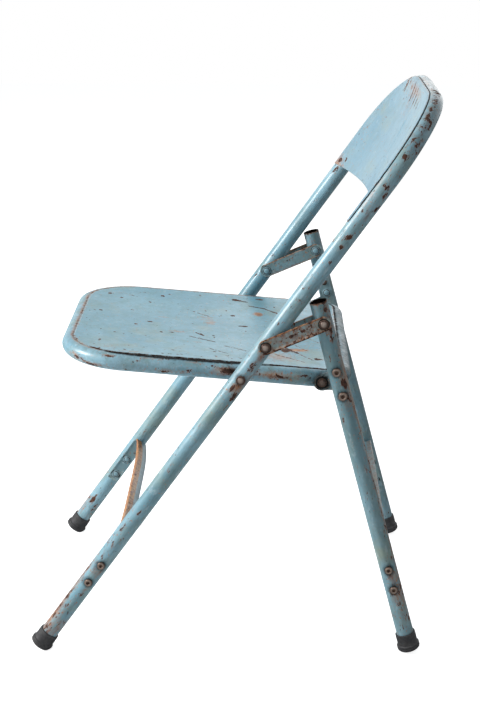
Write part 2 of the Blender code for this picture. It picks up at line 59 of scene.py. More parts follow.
def add(tree, kind, out=0, attributes=None, **inputs):
    """Add a node and return its output out. Inputs are named with underscores for spaces, or by
    number after an underscore; another node's output is linked, and all else is a value."""
    node = tree.nodes.new('ShaderNode' + kind)
    for key, value in (attributes or {}).items():
        setattr(node, key, value)
    for key, value in inputs.items():
        name = key.lstrip("_").replace("_", " ")
        socket = node.inputs[int(name) if name.isdigit() else name]
        if isinstance(value, bpy.types.NodeSocket):
            tree.links.new(value, socket)
        else:
            socket.default_value = value
    return node.outputs[out] if len(node.outputs) else None


EYE = Vector((2.3402, 0.0530, 1.1099))
EYE_RIGHT = Vector((-0.01936, 0.99981, 0.0))
EYE_UP = Vector((-0.29861, -0.00570, 0.95436))
EYE_BACK = Vector((0.95418, 0.01850, 0.29866))

lens = bpy.data.cameras.new("camera")
lens.lens = 80.0
lens.sensor_width = 36.0
camera = bpy.data.objects.new("camera", lens)
bpy.context.scene.collection.objects.link(camera)
camera.matrix_world = Matrix.Translation(EYE) @ Matrix(
    (EYE_RIGHT, EYE_UP, EYE_BACK)).transposed().to_4x4()
bpy.context.scene.camera = camera


def softbox(name, at, aim, size, power):
    """Square lamp of that size and power at a point, turned to face aim."""
    lamp = bpy.data.lights.new(name, 'AREA')
    lamp.shape = 'SQUARE'
    lamp.size = size
    lamp.energy = power
    ob = bpy.data.objects.new(name, lamp)
    ob.location = at
    ob.rotation_euler = (Vector(aim) - Vector(at)).to_track_quat('-Z', 'Y').to_euler()
    bpy.context.scene.collection.objects.link(ob)


softbox("key_above_front", (0.45, -2.35, 1.75), (0.0, 0.0, 0.45), 0.9, 88.0)
softbox("fill_from_camera", (2.6, 0.2, 2.2), (0.0, 0.0, 0.4), 1.4, 5.0)
softbox("fill_from_far_side", (-2.5, 0.9, 1.2), (0.0, 0.0, 0.40), 1.8, 13.0)

# A pale room: the chair is lit by it dimly, but the eye and its mirror images see it white
WHITE = (1.0, 1.0, 1.0, 1.0)
world = bpy.data.worlds.new("studio")
bpy.context.scene.world = world
world.use_nodes = True
tree = world.node_tree
tree.nodes.clear()
seen = add(tree, 'LightPath', 'Is Camera Ray')
for ray in ('Is Transmission Ray', 'Is Glossy Ray'):
    seen = add(tree, 'Math', 0, {'operation': 'MAXIMUM'}, _0=seen, _1=add(tree, 'LightPath', ray))
dim = add(tree, 'Background', Color=srgb('#e9eef2'), Strength=0.16)
white = add(tree, 'Background', Color=WHITE, Strength=1.0)
add(tree, 'OutputWorld', Surface=add(tree, 'MixShader', _0=seen, _1=dim, _2=white))


def blank(name):
    """A new material, and its emptied node tree."""
    mat = bpy.data.materials.new(name)
    mat.use_nodes = True
    mat.node_tree.nodes.clear()
    return mat, mat.node_tree


# Matt white floor that glows to the eye alone, so it ends in white with only soft shadows on it
FLOOR, FLOOR_Z = 6.0, -0.0004
floor_mesh = bpy.data.meshes.new("floor")
floor_mesh.from_pydata([(x * FLOOR, y * FLOOR, FLOOR_Z) for x, y in ((-1, -1), (1, -1), (1, 1), (-1, 1))],
                       [], [(0, 1, 2, 3)])
floor = bpy.data.objects.new("floor", floor_mesh)
bpy.context.scene.collection.objects.link(floor)
pale, tree = blank("pale_floor")
matt = add(tree, 'BsdfDiffuse', Color=(0.80, 0.80, 0.80, 1.0))
lit = add(tree, 'AddShader', _0=matt, _1=add(tree, 'Emission', Color=WHITE, Strength=0.87))
eye_sees = add(tree, 'LightPath', 'Is Camera Ray')
add(tree, 'OutputMaterial', Surface=add(tree, 'MixShader', _0=eye_sees, _1=matt, _2=lit))
floor_mesh.materials.append(pale)


# ---- Frame tube
# One 25 mm steel tube bent over the top of the back; its two ends are the front legs. It was
# sprayed light blue after bending, and the paint is chipped most at the bends and the fixings.

TUBE, WALL = 0.0125, 0.0012
# The feet's axes start at this height, and the tube itself this far along them, in its tip
LIFT, TUBE_START = 0.0065, 0.0075
LEG_X, SIDES = 0.2165, ((1, "left"), (-1, "right"))
FOOT_Y, FOOT_ANGLE = -0.28161, math.radians(54.5)
STRAIGHT_END, ARCH_TOP, ARCH_SPAN, ARCH_BOW = 0.848, 0.963, 0.143, 0.006
# Places along the tube: the seat's pivot, the link's, the stretcher's rivets and the panel's end
SEAT_PIVOT_T, LINK_PIVOT_T, FRONT_HOLES, PANEL_END_T = 0.5072, 0.5664, (0.127, 0.160), 0.7755
# The paint's grain follows the tube: this is its lean from the upright
FRAME_LEAN = math.radians(90.0) - FOOT_ANGLE
# Radius of the dark ring round a rivet head on a tube: dirty, and painted shade at the head's foot
RIVET_RING_R = 0.0082
UP = np.array((0.0, math.cos(FOOT_ANGLE), math.sin(FOOT_ANGLE)))
BACK = np.array((0.0, math.sin(FOOT_ANGLE), -math.cos(FOOT_ANGLE)))
ACROSS = np.array((1.0, 0.0, 0.0))


def beside(foot, up, square):
    """Gives a function for points beside an axis: the foot point, plus along times up, plus off
    times the direction square to it, plus x across the chair."""
    def at(along, off=0.0, x=0.0):
        along, off, x = (part[..., None] for part in np.broadcast_arrays(along, off, x))
        return foot + along * up + off * square + x * ACROSS
    return at


front = beside(np.array((0.0, FOOT_Y, LIFT)), UP, BACK)


def grid_faces(rows, columns, close_rows=False, close_columns=False):
    """Four-sided faces between neighbours of a grid; a closed direction joins last to first."""
    r = np.arange(rows if close_rows else rows - 1)[:, None]
    c = np.arange(columns if close_columns else columns - 1)[None, :]
    r1, c1 = (r + 1) % rows, (c + 1) % columns
    corners = [r * columns + c, r * columns + c1, r1 * columns + c1, r1 * columns + c]
    return np.stack(corners, -1).reshape(-1, 4)


MERGE, NO_LENGTH = 0.000002, 0.0000005


def make_piece(name, sheets, finish, chip=None, stain=None, grime_and_shade=None, thickness=0.0, sharp=50.0):
    """Mesh object from grids of points. A sheet is (points, close rows, close columns). One number
    per point says how far the paint is gone (chip), rust-stained (stain) and darkened, by dirt and by
    painted shade in gaps and round rivet heads (the third). Edges that turn by more than sharp degrees stay
    crisp."""
    points, faces, start = [], [], 0
    for grid, close_rows, close_columns in sheets:
        rows, columns = grid.shape[:2]
        points.append(grid.reshape(-1, 3))
        faces.append(grid_faces(rows, columns, close_rows, close_columns) + start)
        start += rows * columns
    points = np.concatenate(points)
    mesh = bpy.data.meshes.new(name)
    mesh.from_pydata(points.tolist(), [], np.concatenate(faces).tolist())
    for key, values in (("chip", chip), ("stain", stain), ("grime_and_shade", grime_and_shade)):
        layer = mesh.attributes.new(key, 'FLOAT', 'POINT')
        values = np.zeros(len(points)) if values is None else values
        layer.data.foreach_set("value", values.ravel())
    bm = bmesh.new()
    bm.from_mesh(mesh)
    bmesh.ops.remove_doubles(bm, verts=bm.verts, dist=MERGE)
    bmesh.ops.dissolve_degenerate(bm, edges=bm.edges, dist=NO_LENGTH)
    bmesh.ops.recalc_face_normals(bm, faces=bm.faces)
    bm.to_mesh(mesh)
    bm.free()
    mesh.polygons.foreach_set("use_smooth", [True] * len(mesh.polygons))
    mesh.set_sharp_from_angle(angle=math.radians(sharp))
    mesh.materials.append(finish)
    ob = bpy.data.objects.new(name, mesh)
    bpy.context.scene.collection.objects.link(ob)
    if thickness:
        wall = ob.modifiers.new("sheet", 'SOLIDIFY')
        wall.thickness = thickness
        wall.offset = 1.0
    return ob


def fit(ob, body, slot, *nodes):
    """The piece rides on a body and stands for those CAD nodes, which are hidden. The slot is not used."""
    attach(ob, body)
    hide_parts(*nodes)


def tube_rings(path, radius, normal, around):
    """Rings square to a path: the path's point plus radius times (cosine times the side
    direction, which is tangent cross normal, plus sine times the direction square to both).
    Returns the rings, and the degrees round them."""
    tangent = np.gradient(path, axis=0)
    tangent /= np.linalg.norm(tangent, axis=1)[:, None]
    side = np.cross(tangent, normal)
    side /= np.linalg.norm(side, axis=1)[:, None]
    other = np.cross(side, tangent)
    a = 2.0 * np.pi * np.arange(around) / around
    ring = np.cos(a)[None, :, None] * side[:, None, :] + np.sin(a)[None, :, None] * other[:, None, :]
    return path[:, None, :] + radius * ring, np.degrees(a)


def open_tube(path, normal, around):
    """Outer rings up a path, then the bore's rings back down it, one for every twelve: the tube's
    wall with both ends. Returns also the degrees and the number of bore rings."""
    outer, turn = tube_rings(path, TUBE, normal, around)
    inner, turn = tube_rings(path[::12], TUBE - WALL, normal, around)
    inner[-1] += path[-1] - path[::12][-1]
    return np.concatenate([outer, inner[::-1]]), turn, len(inner)


def with_bore(numbers, rows, value=0.0):
    """The outer rings' numbers, and one value for every point of the bore's rings."""
    return np.concatenate([numbers, np.full((rows, numbers.shape[1]), value)])


def arc_length(*parts):
    """Distance along a path, given its coordinates: the running sum of the steps' lengths."""
    steps = np.sqrt(sum(np.diff(part) ** 2 for part in parts))
    return np.concatenate([[0.0], np.cumsum(steps)])


def bell(x, width):
    """Exp of minus the square of x over width: 1 at nought, and near 0 past two widths."""
    return np.exp(-(x / width) ** 2)


def rise(x, width):
    """Straight slope from 0 where x is nought to 1 where it is width, level beyond both."""
    return np.clip(x / width, 0.0, 1.0)


ROUND, FLAT, LINE = (0, 2), (0, 1, 2, 3), (0, 1, 2, 3, 4)


def metres(marks, lengths):
    """Marks listed in mm with their lengths turned to metres, by place: along and half length on
    a round tube, all but the strength on a flat sheet or of a line."""
    return [tuple(0.001 * c if i in lengths else c for i, c in enumerate(mark)) for mark in marks]


def spots(along, across, marks, fullness=1.0):
    """Sum over marks (along, across, half length, half width, strength): strength times exp of
    minus the squared distance, measured in the half sizes, to the power fullness."""
    total = np.zeros(np.broadcast(along, across).shape)
    for s, a, length, width, strength in marks:
        square = ((along - s) / length) ** 2 + ((across - a) / width) ** 2
        total += strength * np.exp(-square ** fullness)
    return total


def scratches(along, across, lines):
    """Sum over lines (start along, start across, end along, end across, half width, strength):
    strength times exp of minus the squared distance to the line's nearest point."""
    total = np.zeros(np.broadcast(along, across).shape)
    for a0, c0, a1, c1, width, strength in lines:
        span = (a1 - a0) ** 2 + (c1 - c0) ** 2
        share = np.clip(((along - a0) * (a1 - a0) + (across - c0) * (c1 - c0)) / span, 0.0, 1.0)
        square = (along - a0 - share * (a1 - a0)) ** 2 + (across - c0 - share * (c1 - c0)) ** 2
        total += strength * np.exp(-square / width ** 2)
    return total


RGBA, TIMES_PLUS = {'data_type': 'RGBA'}, {'operation': 'MULTIPLY_ADD'}
# How much the ragged noise moves the edge of a chip
RAGGED = 1.7


def peeling_paint(name, light, deep, dull, cut=0.30, turn=0.0, gloss=0.32, speck=0.0, stretch=0.5,
                  wear=1.0):
    """Gloss paint on steel with chips. The colour drifts between light and deep and is mottled
    with dull, by wear. Where RAGGED times a ragged noise about zero, plus the chip number,
    passes cut, brown steel shows; orange rust rims it and freckles the paint.
    Turn and stretch lay the grain along a tube, and speck adds pinholes and freckles."""
    mat, tree = blank(name)
    place = add(tree, 'TexCoord', 'Object')
    upright = add(tree, 'Mapping', Vector=place, Rotation=(turn, 0.0, 0.0))
    grain = add(tree, 'Mapping', Vector=upright, Scale=(1.0, 1.0, stretch))
    chip, stain, grime_and_shade = (add(tree, 'Attribute', 'Fac', {'attribute_name': key})
                          for key in ('chip', 'stain', 'grime_and_shade'))
    # Noises: scale, detail, roughness, distortion and coordinates. Scale is 1 over the real size in
    # metres: the paint drifts over 110 mm, blooms over 67, mottles over 21, is shaded over 7 and
    # dusted over 9. Freckles are 3 mm, rust runs 7, ragged chips 6, and pinholes and rust grain 4,
    # all drawn as coarse as they need to show.
    drift, bloom, mottle, shade, dust, freckle, bleed, ragged, pinhole, rust = (
        add(tree, 'TexNoise', Vector=at, Scale=scale, Detail=detail, Roughness=rough, Distortion=twist)
        for scale, detail, rough, twist, at in (
            (9.0, 3.0, 0.50, 0.0, grain), (15.0, 4.0, 0.60, 0.0, upright), (48.0, 6.0, 0.64, 0.0, grain),
            (150.0, 5.0, 0.70, 0.0, grain), (115.0, 4.0, 0.60, 0.0, grain), (330.0, 3.0, 0.55, 0.0, upright),
            (150.0, 6.0, 0.66, 0.0, grain), (165.0, 9.0, 0.70, 0.5, grain), (240.0, 4.0, 0.55, 0.0, grain),
            (260.0, 5.0, 0.70, 0.0, upright)))
    # A noise and a number of the mesh together: the first times a factor, plus the second
    freckle, run, loss, pinhole, soot_and_shade = (
        add(tree, 'Math', 0, TIMES_PLUS, _0=first, _1=factor, _2=second) for first, factor, second in (
            (stain, 0.16, freckle), (bleed, 0.9, stain), (ragged, RAGGED, chip), (chip, 0.30, pinhole),
            (bleed, 0.9, grime_and_shade)))
    # Shares of the layers below: nothing where the value is low, the last number where it is high
    flake = cut + 0.5 * RAGGED
    drift, bloom, mottle, shade, dust, freckle, run, run_tone, flaked, pitted, halo, steel_tone, black = (
        add(tree, 'MapRange', Value=value, From_Min=low, From_Max=high, To_Max=top)
        for value, low, high, top in (
            (drift, 0.38, 0.62, 1.0), (bloom, 0.54, 0.74, 0.25 + 0.28 * wear),
            (mottle, 0.45, 0.70, 0.62 * wear), (shade, 0.40, 0.68, 0.34 * wear),
            (dust, 0.58, 0.72, 0.35 * wear),
            (freckle, 0.690 - speck, 0.720 - speck, 0.85), (run, 0.66, 1.10, 0.90), (bleed, 0.35, 0.65, 1.0),
            (loss, flake, flake + 0.020, 1.0),
            (pinhole, 0.712 - speck, 0.727 - speck, 1.0),
            (loss, flake - 0.090, flake + 0.006, 0.60), (rust, 0.38, 0.66, 1.0), (soot_and_shade, 0.63, 1.30, 0.97)))
    gone = add(tree, 'Math', 0, {'operation': 'MAXIMUM'}, _0=flaked, _1=pitted)
    run_rust = add(tree, 'Mix', 2, RGBA, _0=run_tone, _6=srgb('#d2934a'), _7=srgb('#92502c'))
    steel = add(tree, 'Mix', 2, RGBA, _0=steel_tone, _6=srgb('#2b1a16'), _7=srgb('#65402e'))
    # The paint film: slow drift, a greenish cream bloom, mottling, shade, dust and freckles. Over it
    # lie rust runs, the rusty rims of chips, bare brown steel, and near black, which is dirty grime and
    # also painted shade in gaps and round rivet heads.
    colour = srgb(light)
    for share, over in ((drift, srgb(deep)), (bloom, srgb('#a9ae8c')), (mottle, srgb(dull)),
                        (shade, srgb('#587680')), (dust, srgb('#d5e8ee')), (freckle, srgb('#bd7433')),
                        (run, run_rust), (halo, srgb('#a8622f')), (gone, steel), (black, srgb('#171411'))):
        colour = add(tree, 'Mix', 2, RGBA, _0=share, _6=colour, _7=over)
    rough = add(tree, 'MapRange', Value=gone, To_Min=gloss, To_Max=0.80)
    for part in (mottle, black):
        rough = add(tree, 'Math', 0, TIMES_PLUS, _0=part, _1=0.25, _2=rough)
    # Chips are sunk, their rims lifted, and the rest a little uneven
    height = 0.0
    for part, factor in ((gone, -1.0), (halo, 0.40 / 0.60), (bleed, 0.22), (rust, 0.22)):
        height = add(tree, 'Math', 0, TIMES_PLUS, _0=part, _1=factor, _2=height)
    shader = add(tree, 'BsdfPrincipled', Base_Color=colour, Roughness=rough, IOR=1.5, Metallic=0.0,
                 Normal=add(tree, 'Bump', Height=height, Strength=0.9, Distance=0.0004),
                 Specular_IOR_Level=add(tree, 'MapRange', Value=black, From_Max=0.9, To_Min=0.5, To_Max=0.06))
    add(tree, 'OutputMaterial', Surface=shader)
    return mat


# Sprayed alkyd gloss: a clear blue with a soft shine, which breaks off in ragged flakes
frame_paint = peeling_paint("light_blue_gloss_on_tube", '#98c0cf', '#74a3b4', '#6f867f',
                            turn=FRAME_LEAN, speck=0.012, stretch=0.4)


def from_other_foot(marks):
    """The same marks measured from the other end of the tube, which is total long."""
    return [(total - m[0],) + tuple(m[1:]) for m in marks]


def rivet_dirt_and_shade(places):
    """Marks for the dark ring round each rivet head on a tube, dirty and also painted shade where the head
    meets the tube, and for the rust run below it.
    """
    turn = math.degrees(RIVET_RING_R / TUBE)
    dirt_and_shade = [(t - TUBE_START, 0.0, RIVET_RING_R, turn, 1.30) for t in places]
    rust_run = [(t - TUBE_START - 0.010, -10.0, 1.6 * RIVET_RING_R, 0.9 * turn, 0.30) for t in places]
    return dirt_and_shade, rust_run


def arch_bow(x):
    """How far the tube lies behind its own plane, most at the middle: 1 - (x / half width) squared."""
    return ARCH_BOW * (1.0 - (x / LEG_X) ** 2)


# The left half: straight leg, a quarter ellipse, and the level top; the right half mirrors it
straight_rows, bend_rows, top_rows = 560, 149, 45
q = np.linspace(0.0, 0.5 * np.pi, bend_rows + 1)[1:]
half_x = np.concatenate([np.full(straight_rows, LEG_X), LEG_X - ARCH_SPAN * (1.0 - np.cos(q)),
                         np.linspace(LEG_X - ARCH_SPAN, 0.0, top_rows + 1)[1:]])
half_t = np.concatenate([np.linspace(TUBE_START, STRAIGHT_END, straight_rows),
                         STRAIGHT_END + (ARCH_TOP - STRAIGHT_END) * np.sin(q), np.full(top_rows, ARCH_TOP)])
frame_x = np.concatenate([half_x, -half_x[-2::-1]])
frame_t = np.concatenate([half_t, half_t[-2::-1]])
frame_axis = front(frame_t, arch_bow(frame_x), frame_x)
rings, turns, bore_rows = open_tube(frame_axis, BACK, 48)
run = arc_length(*frame_axis.T)
# Degrees round the tube: 0 faces out of the chair, 90 forward, -90 to the rear
turns = turns - 180.0
# The biggest chips: mm from the left foot, degrees, half length, half turn, strength
near_chips = metres([
    (944.7, 26, 9, 18, 0.3), (964.6, 30, 6, 12, 0.26), (919.7, 10, 7, 14, 0.24), (902.5, 32, 6, 12, 0.22),
    (877.3, 15, 4, 16, 0.3), (888, -50, 10, 16, 0.22), (833.3, 5, 4, 14, 0.28), (822, -30, 8, 12, 0.2),
    (801.4, -40, 6, 16, 0.3), (750.7, 0, 5, 20, 0.32), (733.6, 1, 4, 16, 0.26), (708.1, -1, 4, 12, 0.18),
    (790, 30, 4, 10, 0.22), (935.4, -14, 12, 12, 0.2), (898.3, -14, 10, 14, 0.16), (992.9, 18, 14, 20, 0.2),
    (1026.3, 14, 12, 18, 0.2), (1043.7, 38, 12, 16, 0.18), (641.2, 6, 6, 14, 0.16), (523, -4, 10, 16, 0.16),
    (484, 10, 7, 18, 0.2), (475, -30, 10, 18, 0.22), (332, 20, 6, 12, 0.17), (251, 10, 5, 12, 0.18),
    (215, 35, 6, 12, 0.16), (98, -10, 6, 18, 0.2), (72, 20, 5, 12, 0.16)], ROUND)
far_chips = metres([
    (760, 150, 10, 22, 0.22), (700, 170, 8, 20, 0.2), (585, 160, 8, 18, 0.22), (545, 130, 10, 20, 0.22),
    (210, 170, 10, 22, 0.18), (160, 150, 10, 20, 0.18), (60, 160, 10, 22, 0.2), (900, 60, 14, 20, 0.18),
    (980, 80, 12, 20, 0.16)], ROUND)
rust_zones = metres([
    (930, 10, 140, 90, 0.13), (800, 0, 50, 60, 0.2), (500, -20, 60, 90, 0.26), (200, 30, 90, 70, 0.18),
    (30, 0, 40, 200, 0.34), (1070, 40, 80, 80, 0.12), (90, 75, 80, 30, 0.36), (660, 10, 40, 60, 0.14),
    (400, 40, 50, 50, 0.12)], ROUND)
dirt_and_shade, rust_run = rivet_dirt_and_shade(FRONT_HOLES + (SEAT_PIVOT_T, LINK_PIVOT_T))
S, D, total = run[:, None], turns[None, :], run[-1]
rust_zones += from_other_foot(rust_zones)
chips = 1.5 * spots(S, D, near_chips + from_other_foot(near_chips[::2] + far_chips))
chips += 0.50 * spots(S, D, rust_zones)
stains = spots(S, D, rust_zones + rust_run + from_other_foot(rust_run))
grimes_and_shade = spots(S, D, dirt_and_shade + from_other_foot(dirt_and_shade))
# Along the panel's curled edge, 22 degrees outwards from the tube's front, the tube is painted dark as the
# shade in the gap under the sheet
on_panel = rise(frame_t - PANEL_END_T, 0.004)[:, None]
grimes_and_shade += 1.45 * on_panel * bell(D - 66.0, 4.5)
stains += 0.15 * on_panel * bell(D - 52.0, 14.0)
numbers = [with_bore(n, bore_rows) for n in (chips, stains, grimes_and_shade)]
frame_tube = make_piece("frame_tube_bent", [(rings, True, True)], frame_paint, *numbers)
fit(frame_tube, "frame", "frame_paint", "frame_tube")


# ---- Back panel
# Pressed steel sheet, hollowed to the rear for the sitter's back. Its edge is curled over the
# front of the tube all round the arch, and its lower edge is a shallow arch between two tails.

SHEET, GAP = 0.0010, 0.0003
TAIL_T, MID_T, SPINE_TOP = 0.773, 0.7935, 0.905
CURL, LEAVE = math.radians(22.0), math.radians(-17.0)
SAG_LOW, SAG_TOP = 0.030, 0.010


def back_sheet(columns, steps):
    """Half of the panel. A column starts curled round the tube's front, from 22 degrees outside
    to 17 inside, then runs to the middle line with its depth falling as 1 - (1 - v) squared."""
    rim_x = np.concatenate([np.full(30, LEG_X), half_x[straight_rows:]])
    rim_t = np.concatenate([np.linspace(TAIL_T, STRAIGHT_END, 30), half_t[straight_rows:]])
    length = arc_length(rim_x, rim_t)
    at = np.linspace(0.0, length[-1], columns)
    x, t = np.interp(at, length, rim_x), np.interp(at, length, rim_t)
    dx, dt = np.gradient(x), np.gradient(t)
    size = np.hypot(dx, dt)
    ox, ot = dt / size, -dx / size
    ox[-1], ot[-1] = 0.0, 1.0
    x, t, ox, ot, share = (part[:, None] for part in (x, t, ox, ot, at / length[-1]))
    radius = TUBE + GAP
    a = np.linspace(CURL, LEAVE, 9)[None, :]
    curl = (x + ox * radius * np.sin(a), t + ot * radius * np.sin(a), arch_bow(x) - radius * np.cos(a))
    ex, et, eh = (part[:, -1:] for part in curl)
    v = np.linspace(0.0, 1.0, steps)[None, 1:]
    spine = MID_T + (SPINE_TOP - MID_T) * share
    power = 1.0 + np.exp(-share / 0.05)
    low = -radius * math.cos(LEAVE) + ARCH_BOW
    sag = SAG_LOW + (SAG_TOP - SAG_LOW) * share
    px = ex * (1.0 - v)
    pt = spine + (et - spine) * (1.0 - v) ** power
    ph = eh + (low + sag - eh) * (1.0 - (1.0 - v) ** 2)
    return [np.concatenate([c, p], axis=1) for c, p in zip(curl, (px, pt, ph))]


# The same paint on flat sheet: paler and more even, with fine freckles and few chips
panel_paint = peeling_paint("light_blue_gloss_on_sheet", '#8bafbf', '#77a2b7', '#8a9b96', 0.33,
                            turn=FRAME_LEAN, speck=0.020, stretch=0.8, wear=0.50)
half_back = back_sheet(170, 84)
# Rust runs below the seam at the top, and chips: mm across, mm up the tubes, half sizes, strength
top_runs = metres([
    (-128, 951, 4.5, 16, 0.34), (-112, 947, 3, 20, 0.3), (-90, 950, 4, 14, 0.26), (-66, 944, 4, 22, 0.36),
    (-44, 948, 3, 16, 0.3), (-20, 943, 4.5, 20, 0.34), (6, 944, 3.5, 18, 0.32), (30, 940, 4, 14, 0.24)], FLAT)
panel_chips = metres([
    (73.5, 875.8, 2.8, 3.4, 0.26), (-148, 886.5, 3, 3, 0.22), (-200, 913, 5, 6, 0.2), (66.5, 801, 5, 3, 0.24),
    (-31, 846.3, 2.6, 2.6, 0.18), (99.8, 844.7, 3, 4, 0.2), (-196, 852, 3.6, 3.6, 0.2),
    (150, 830, 3.6, 6, 0.2), (-205, 783, 6, 5, 0.3), (-190, 790, 5, 4, 0.24), (60, 910, 2, 8, 0.18),
    (-10, 890, 2.2, 3, 0.18)], FLAT)
panel_stains = metres([
    (-215, 780, 30, 14, 0.4), (-30, 952, 120, 12, 0.3), (-60, 925, 60, 30, 0.22), (50, 835, 20, 60, 0.16),
    (190, 870, 20, 60, 0.16), (-200, 870, 16, 80, 0.14)], FLAT)
lower_edge = bell(np.linspace(0.0, 1.0, 170), 0.010)[:, None]
curled_edge = bell(np.arange(half_back[0].shape[1]), 1.6)[None, :]
sheets, chips, stains, grimes_and_shade = [], [], [], []
for side in (1, -1):
    x, t = side * half_back[0], half_back[1]
    sheets.append((front(t, half_back[2], x), False, False))
    chips.append(1.7 * spots(x, t, panel_chips, 1.5) + 1.35 * spots(x, t, top_runs) + 0.12 * lower_edge)
    stains.append(0.5 * spots(x, t, top_runs) + spots(x, t, panel_stains) + 0.22 * lower_edge
                  + 0.30 * curled_edge)
    # The curled edge is painted dark as the shade of the gap where the sheet lies over the tube
    grimes_and_shade.append(0.35 * curled_edge + 0.0 * x)
back_panel = make_piece("back_panel_pressed", sheets, panel_paint, np.stack(chips), np.stack(stains),
                        np.stack(grimes_and_shade), thickness=SHEET)
fit(back_panel, "frame", "panel_paint", "back_panel")


# ---- Rear legs
# Two straight lengths of the same tube, sawn off square and left open at the top. Their paint
# is duller and greener than the frame's, from the dirt and damp near the floor.

REAR_FOOT_Y, REAR_ANGLE = 0.25983, math.radians(75.0)
REAR_TOP, LINK_REAR_T = 0.5425, 0.5128
REAR_HOLES, BRACKET_HOLES = (0.099, 0.131), (0.404, 0.440)
REAR_UP = np.array((0.0, -math.cos(REAR_ANGLE), math.sin(REAR_ANGLE)))
AHEAD = np.array((0.0, -math.sin(REAR_ANGLE), -math.cos(REAR_ANGLE)))
rear = beside(np.array((0.0, REAR_FOOT_Y, LIFT)), REAR_UP, AHEAD)
# The frame's paint gone duller, with more rust dots and a little less shine
leg_paint = peeling_paint("dulled_blue_gloss_on_tube", '#92b8c5', '#7199a5', '#73877e', 0.27,
                          turn=REAR_ANGLE - math.radians(90.0), gloss=0.34, speck=0.016, stretch=0.4)
# mm up the leg, degrees from outwards towards the front, half length, half turn, strength
leg_chips = metres([
    (502.1, -30, 6, 20, 0.26), (425.2, -12, 9, 22, 0.24), (420.3, -35, 5, 16, 0.26), (531, -30, 6, 16, 0.2),
    (488.1, -20, 8, 14, 0.18), (368.2, 40, 6, 14, 0.2), (340, -30, 6, 10, 0.18), (291.5, -20, 6, 12, 0.17),
    (250, 10, 10, 10, 0.14), (150, -45, 4, 12, 0.2), (75, -15, 3, 10, 0.18), (60, -5, 3, 10, 0.2),
    (48, -60, 4, 12, 0.18), (100, -60, 5, 12, 0.18), (330, 175, 10, 20, 0.22), (290, 160, 6, 16, 0.2),
    (160, 170, 10, 22, 0.24), (70, 150, 12, 24, 0.26)], ROUND)
leg_zones = metres([
    (530, 0, 30, 300, 0.22), (430, -66, 80, 34, 0.4), (300, -75, 100, 30, 0.34), (60, -20, 60, 120, 0.17),
    (100, -70, 50, 40, 0.22), (200, 160, 140, 60, 0.26), (180, -72, 70, 26, 0.24)], ROUND)
# Dark rings round the rivet heads, dirty and painted shade at their foot, and two dark marks on the inner
# side where the bracket's top and the link lie against the leg, also dirty and painted shade
dirt_and_shade, rust_run = rivet_dirt_and_shade(REAR_HOLES + BRACKET_HOLES + (LINK_REAR_T,))
dirt_and_shade += [(0.462, 180, 0.010, 30, 0.7), (LINK_REAR_T - TUBE_START, 180, 0.012, 50, 0.7)]
S = np.linspace(TUBE_START, REAR_TOP, 420)[:, None]
for side, tag in SIDES:
    rings, D, bore_rows = open_tube(rear(S[:, 0], 0.0, side * LEG_X), AHEAD, 44)
    D = (((D if side > 0 else 180.0 - D) + 180.0) % 360.0 - 180.0)[None, :]
    mouth = bell(S - REAR_TOP, 0.0018)
    chips = 1.15 * spots(S, D, leg_chips) + 0.40 * spots(S, D, leg_zones) + 0.20 * mouth
    stains = spots(S, D, leg_zones) + spots(S - TUBE_START, D, rust_run) + 0.4 * mouth
    grimes_and_shade = spots(S - TUBE_START, D, dirt_and_shade) + 0.5 * mouth
    # The bore is bare, rusty and dark
    numbers = [with_bore(n, bore_rows, inside) for n, inside in ((chips, 0.3), (stains, 0.5), (grimes_and_shade, 1.0))]
    leg = make_piece("rear_leg_tube_" + tag, [(rings, True, True)], leg_paint, *numbers)
    fit(leg, "rear_legs", "leg_paint", "rear_leg_" + tag)


# ---- Seat rim
# A closed loop of the same tube, with wide bends at the front and tight ones at the rear. Rust
# has crept along the seam where the seat sheet lies on it.

TILT, RIM_DROP = math.radians(4.54), 0.0014
RIM_X, RIM_FRONT, RIM_REAR, RIM_FRONT_R, RIM_REAR_R = 0.1845, 0.251, 0.145, 0.0825, 0.030
SEAT_PIVOT = front(SEAT_PIVOT_T)
SEAT_BACKWARD = np.array((0.0, math.cos(TILT), -math.sin(TILT)))
SEAT_UP = np.array((0.0, math.sin(TILT), math.cos(TILT)))
# Points in the seat: forward of the pivot in the rim's tilted plane, up from it, and across
seat = beside(SEAT_PIVOT - RIM_DROP * SEAT_UP, -SEAT_BACKWARD, SEAT_UP)


def rim_outline(inset, count):
    """Closed outline of four quarter circles, about centres moved in by their radius, sampled at
    even steps. Inset moves the outline in and shrinks the radii."""
    x, low, high = RIM_X - inset, -RIM_REAR + inset, RIM_FRONT - inset
    r0, r1 = RIM_REAR_R - inset, RIM_FRONT_R - inset
    turn = np.linspace(0.0, 0.5 * np.pi, 40)
    cx, cy, r, start = np.array([(x - r0, low + r0, r0, -0.5), (x - r1, high - r1, r1, 0.0),
                                 (r1 - x, high - r1, r1, 0.5), (r0 - x, low + r0, r0, 1.0)]).T[..., None]
    px = (cx + r * np.cos(turn + start * np.pi)).ravel()
    py = (cy + r * np.sin(turn + start * np.pi)).ravel()
    px, py = np.append(px, px[0]), np.append(py, py[0])
    length = arc_length(px, py)
    at = np.linspace(0.0, length[-1], count, endpoint=False)
    return np.interp(at, length, px), np.interp(at, length, py)


# The frame's paint again, its grain laid evenly because the loop turns every way
seat_paint = peeling_paint("light_blue_gloss_on_rim", '#97c0d0', '#74a3b6', '#6f8781', speck=0.016,
                           stretch=1.0)
rim_x, rim_f = rim_outline(0.0, 700)
loop = seat(rim_f, 0.0, rim_x)
rings, turns = tube_rings(np.concatenate([loop[-2:], loop, loop[:2]]), TUBE, SEAT_UP, 48)
rings = rings[2:-2]
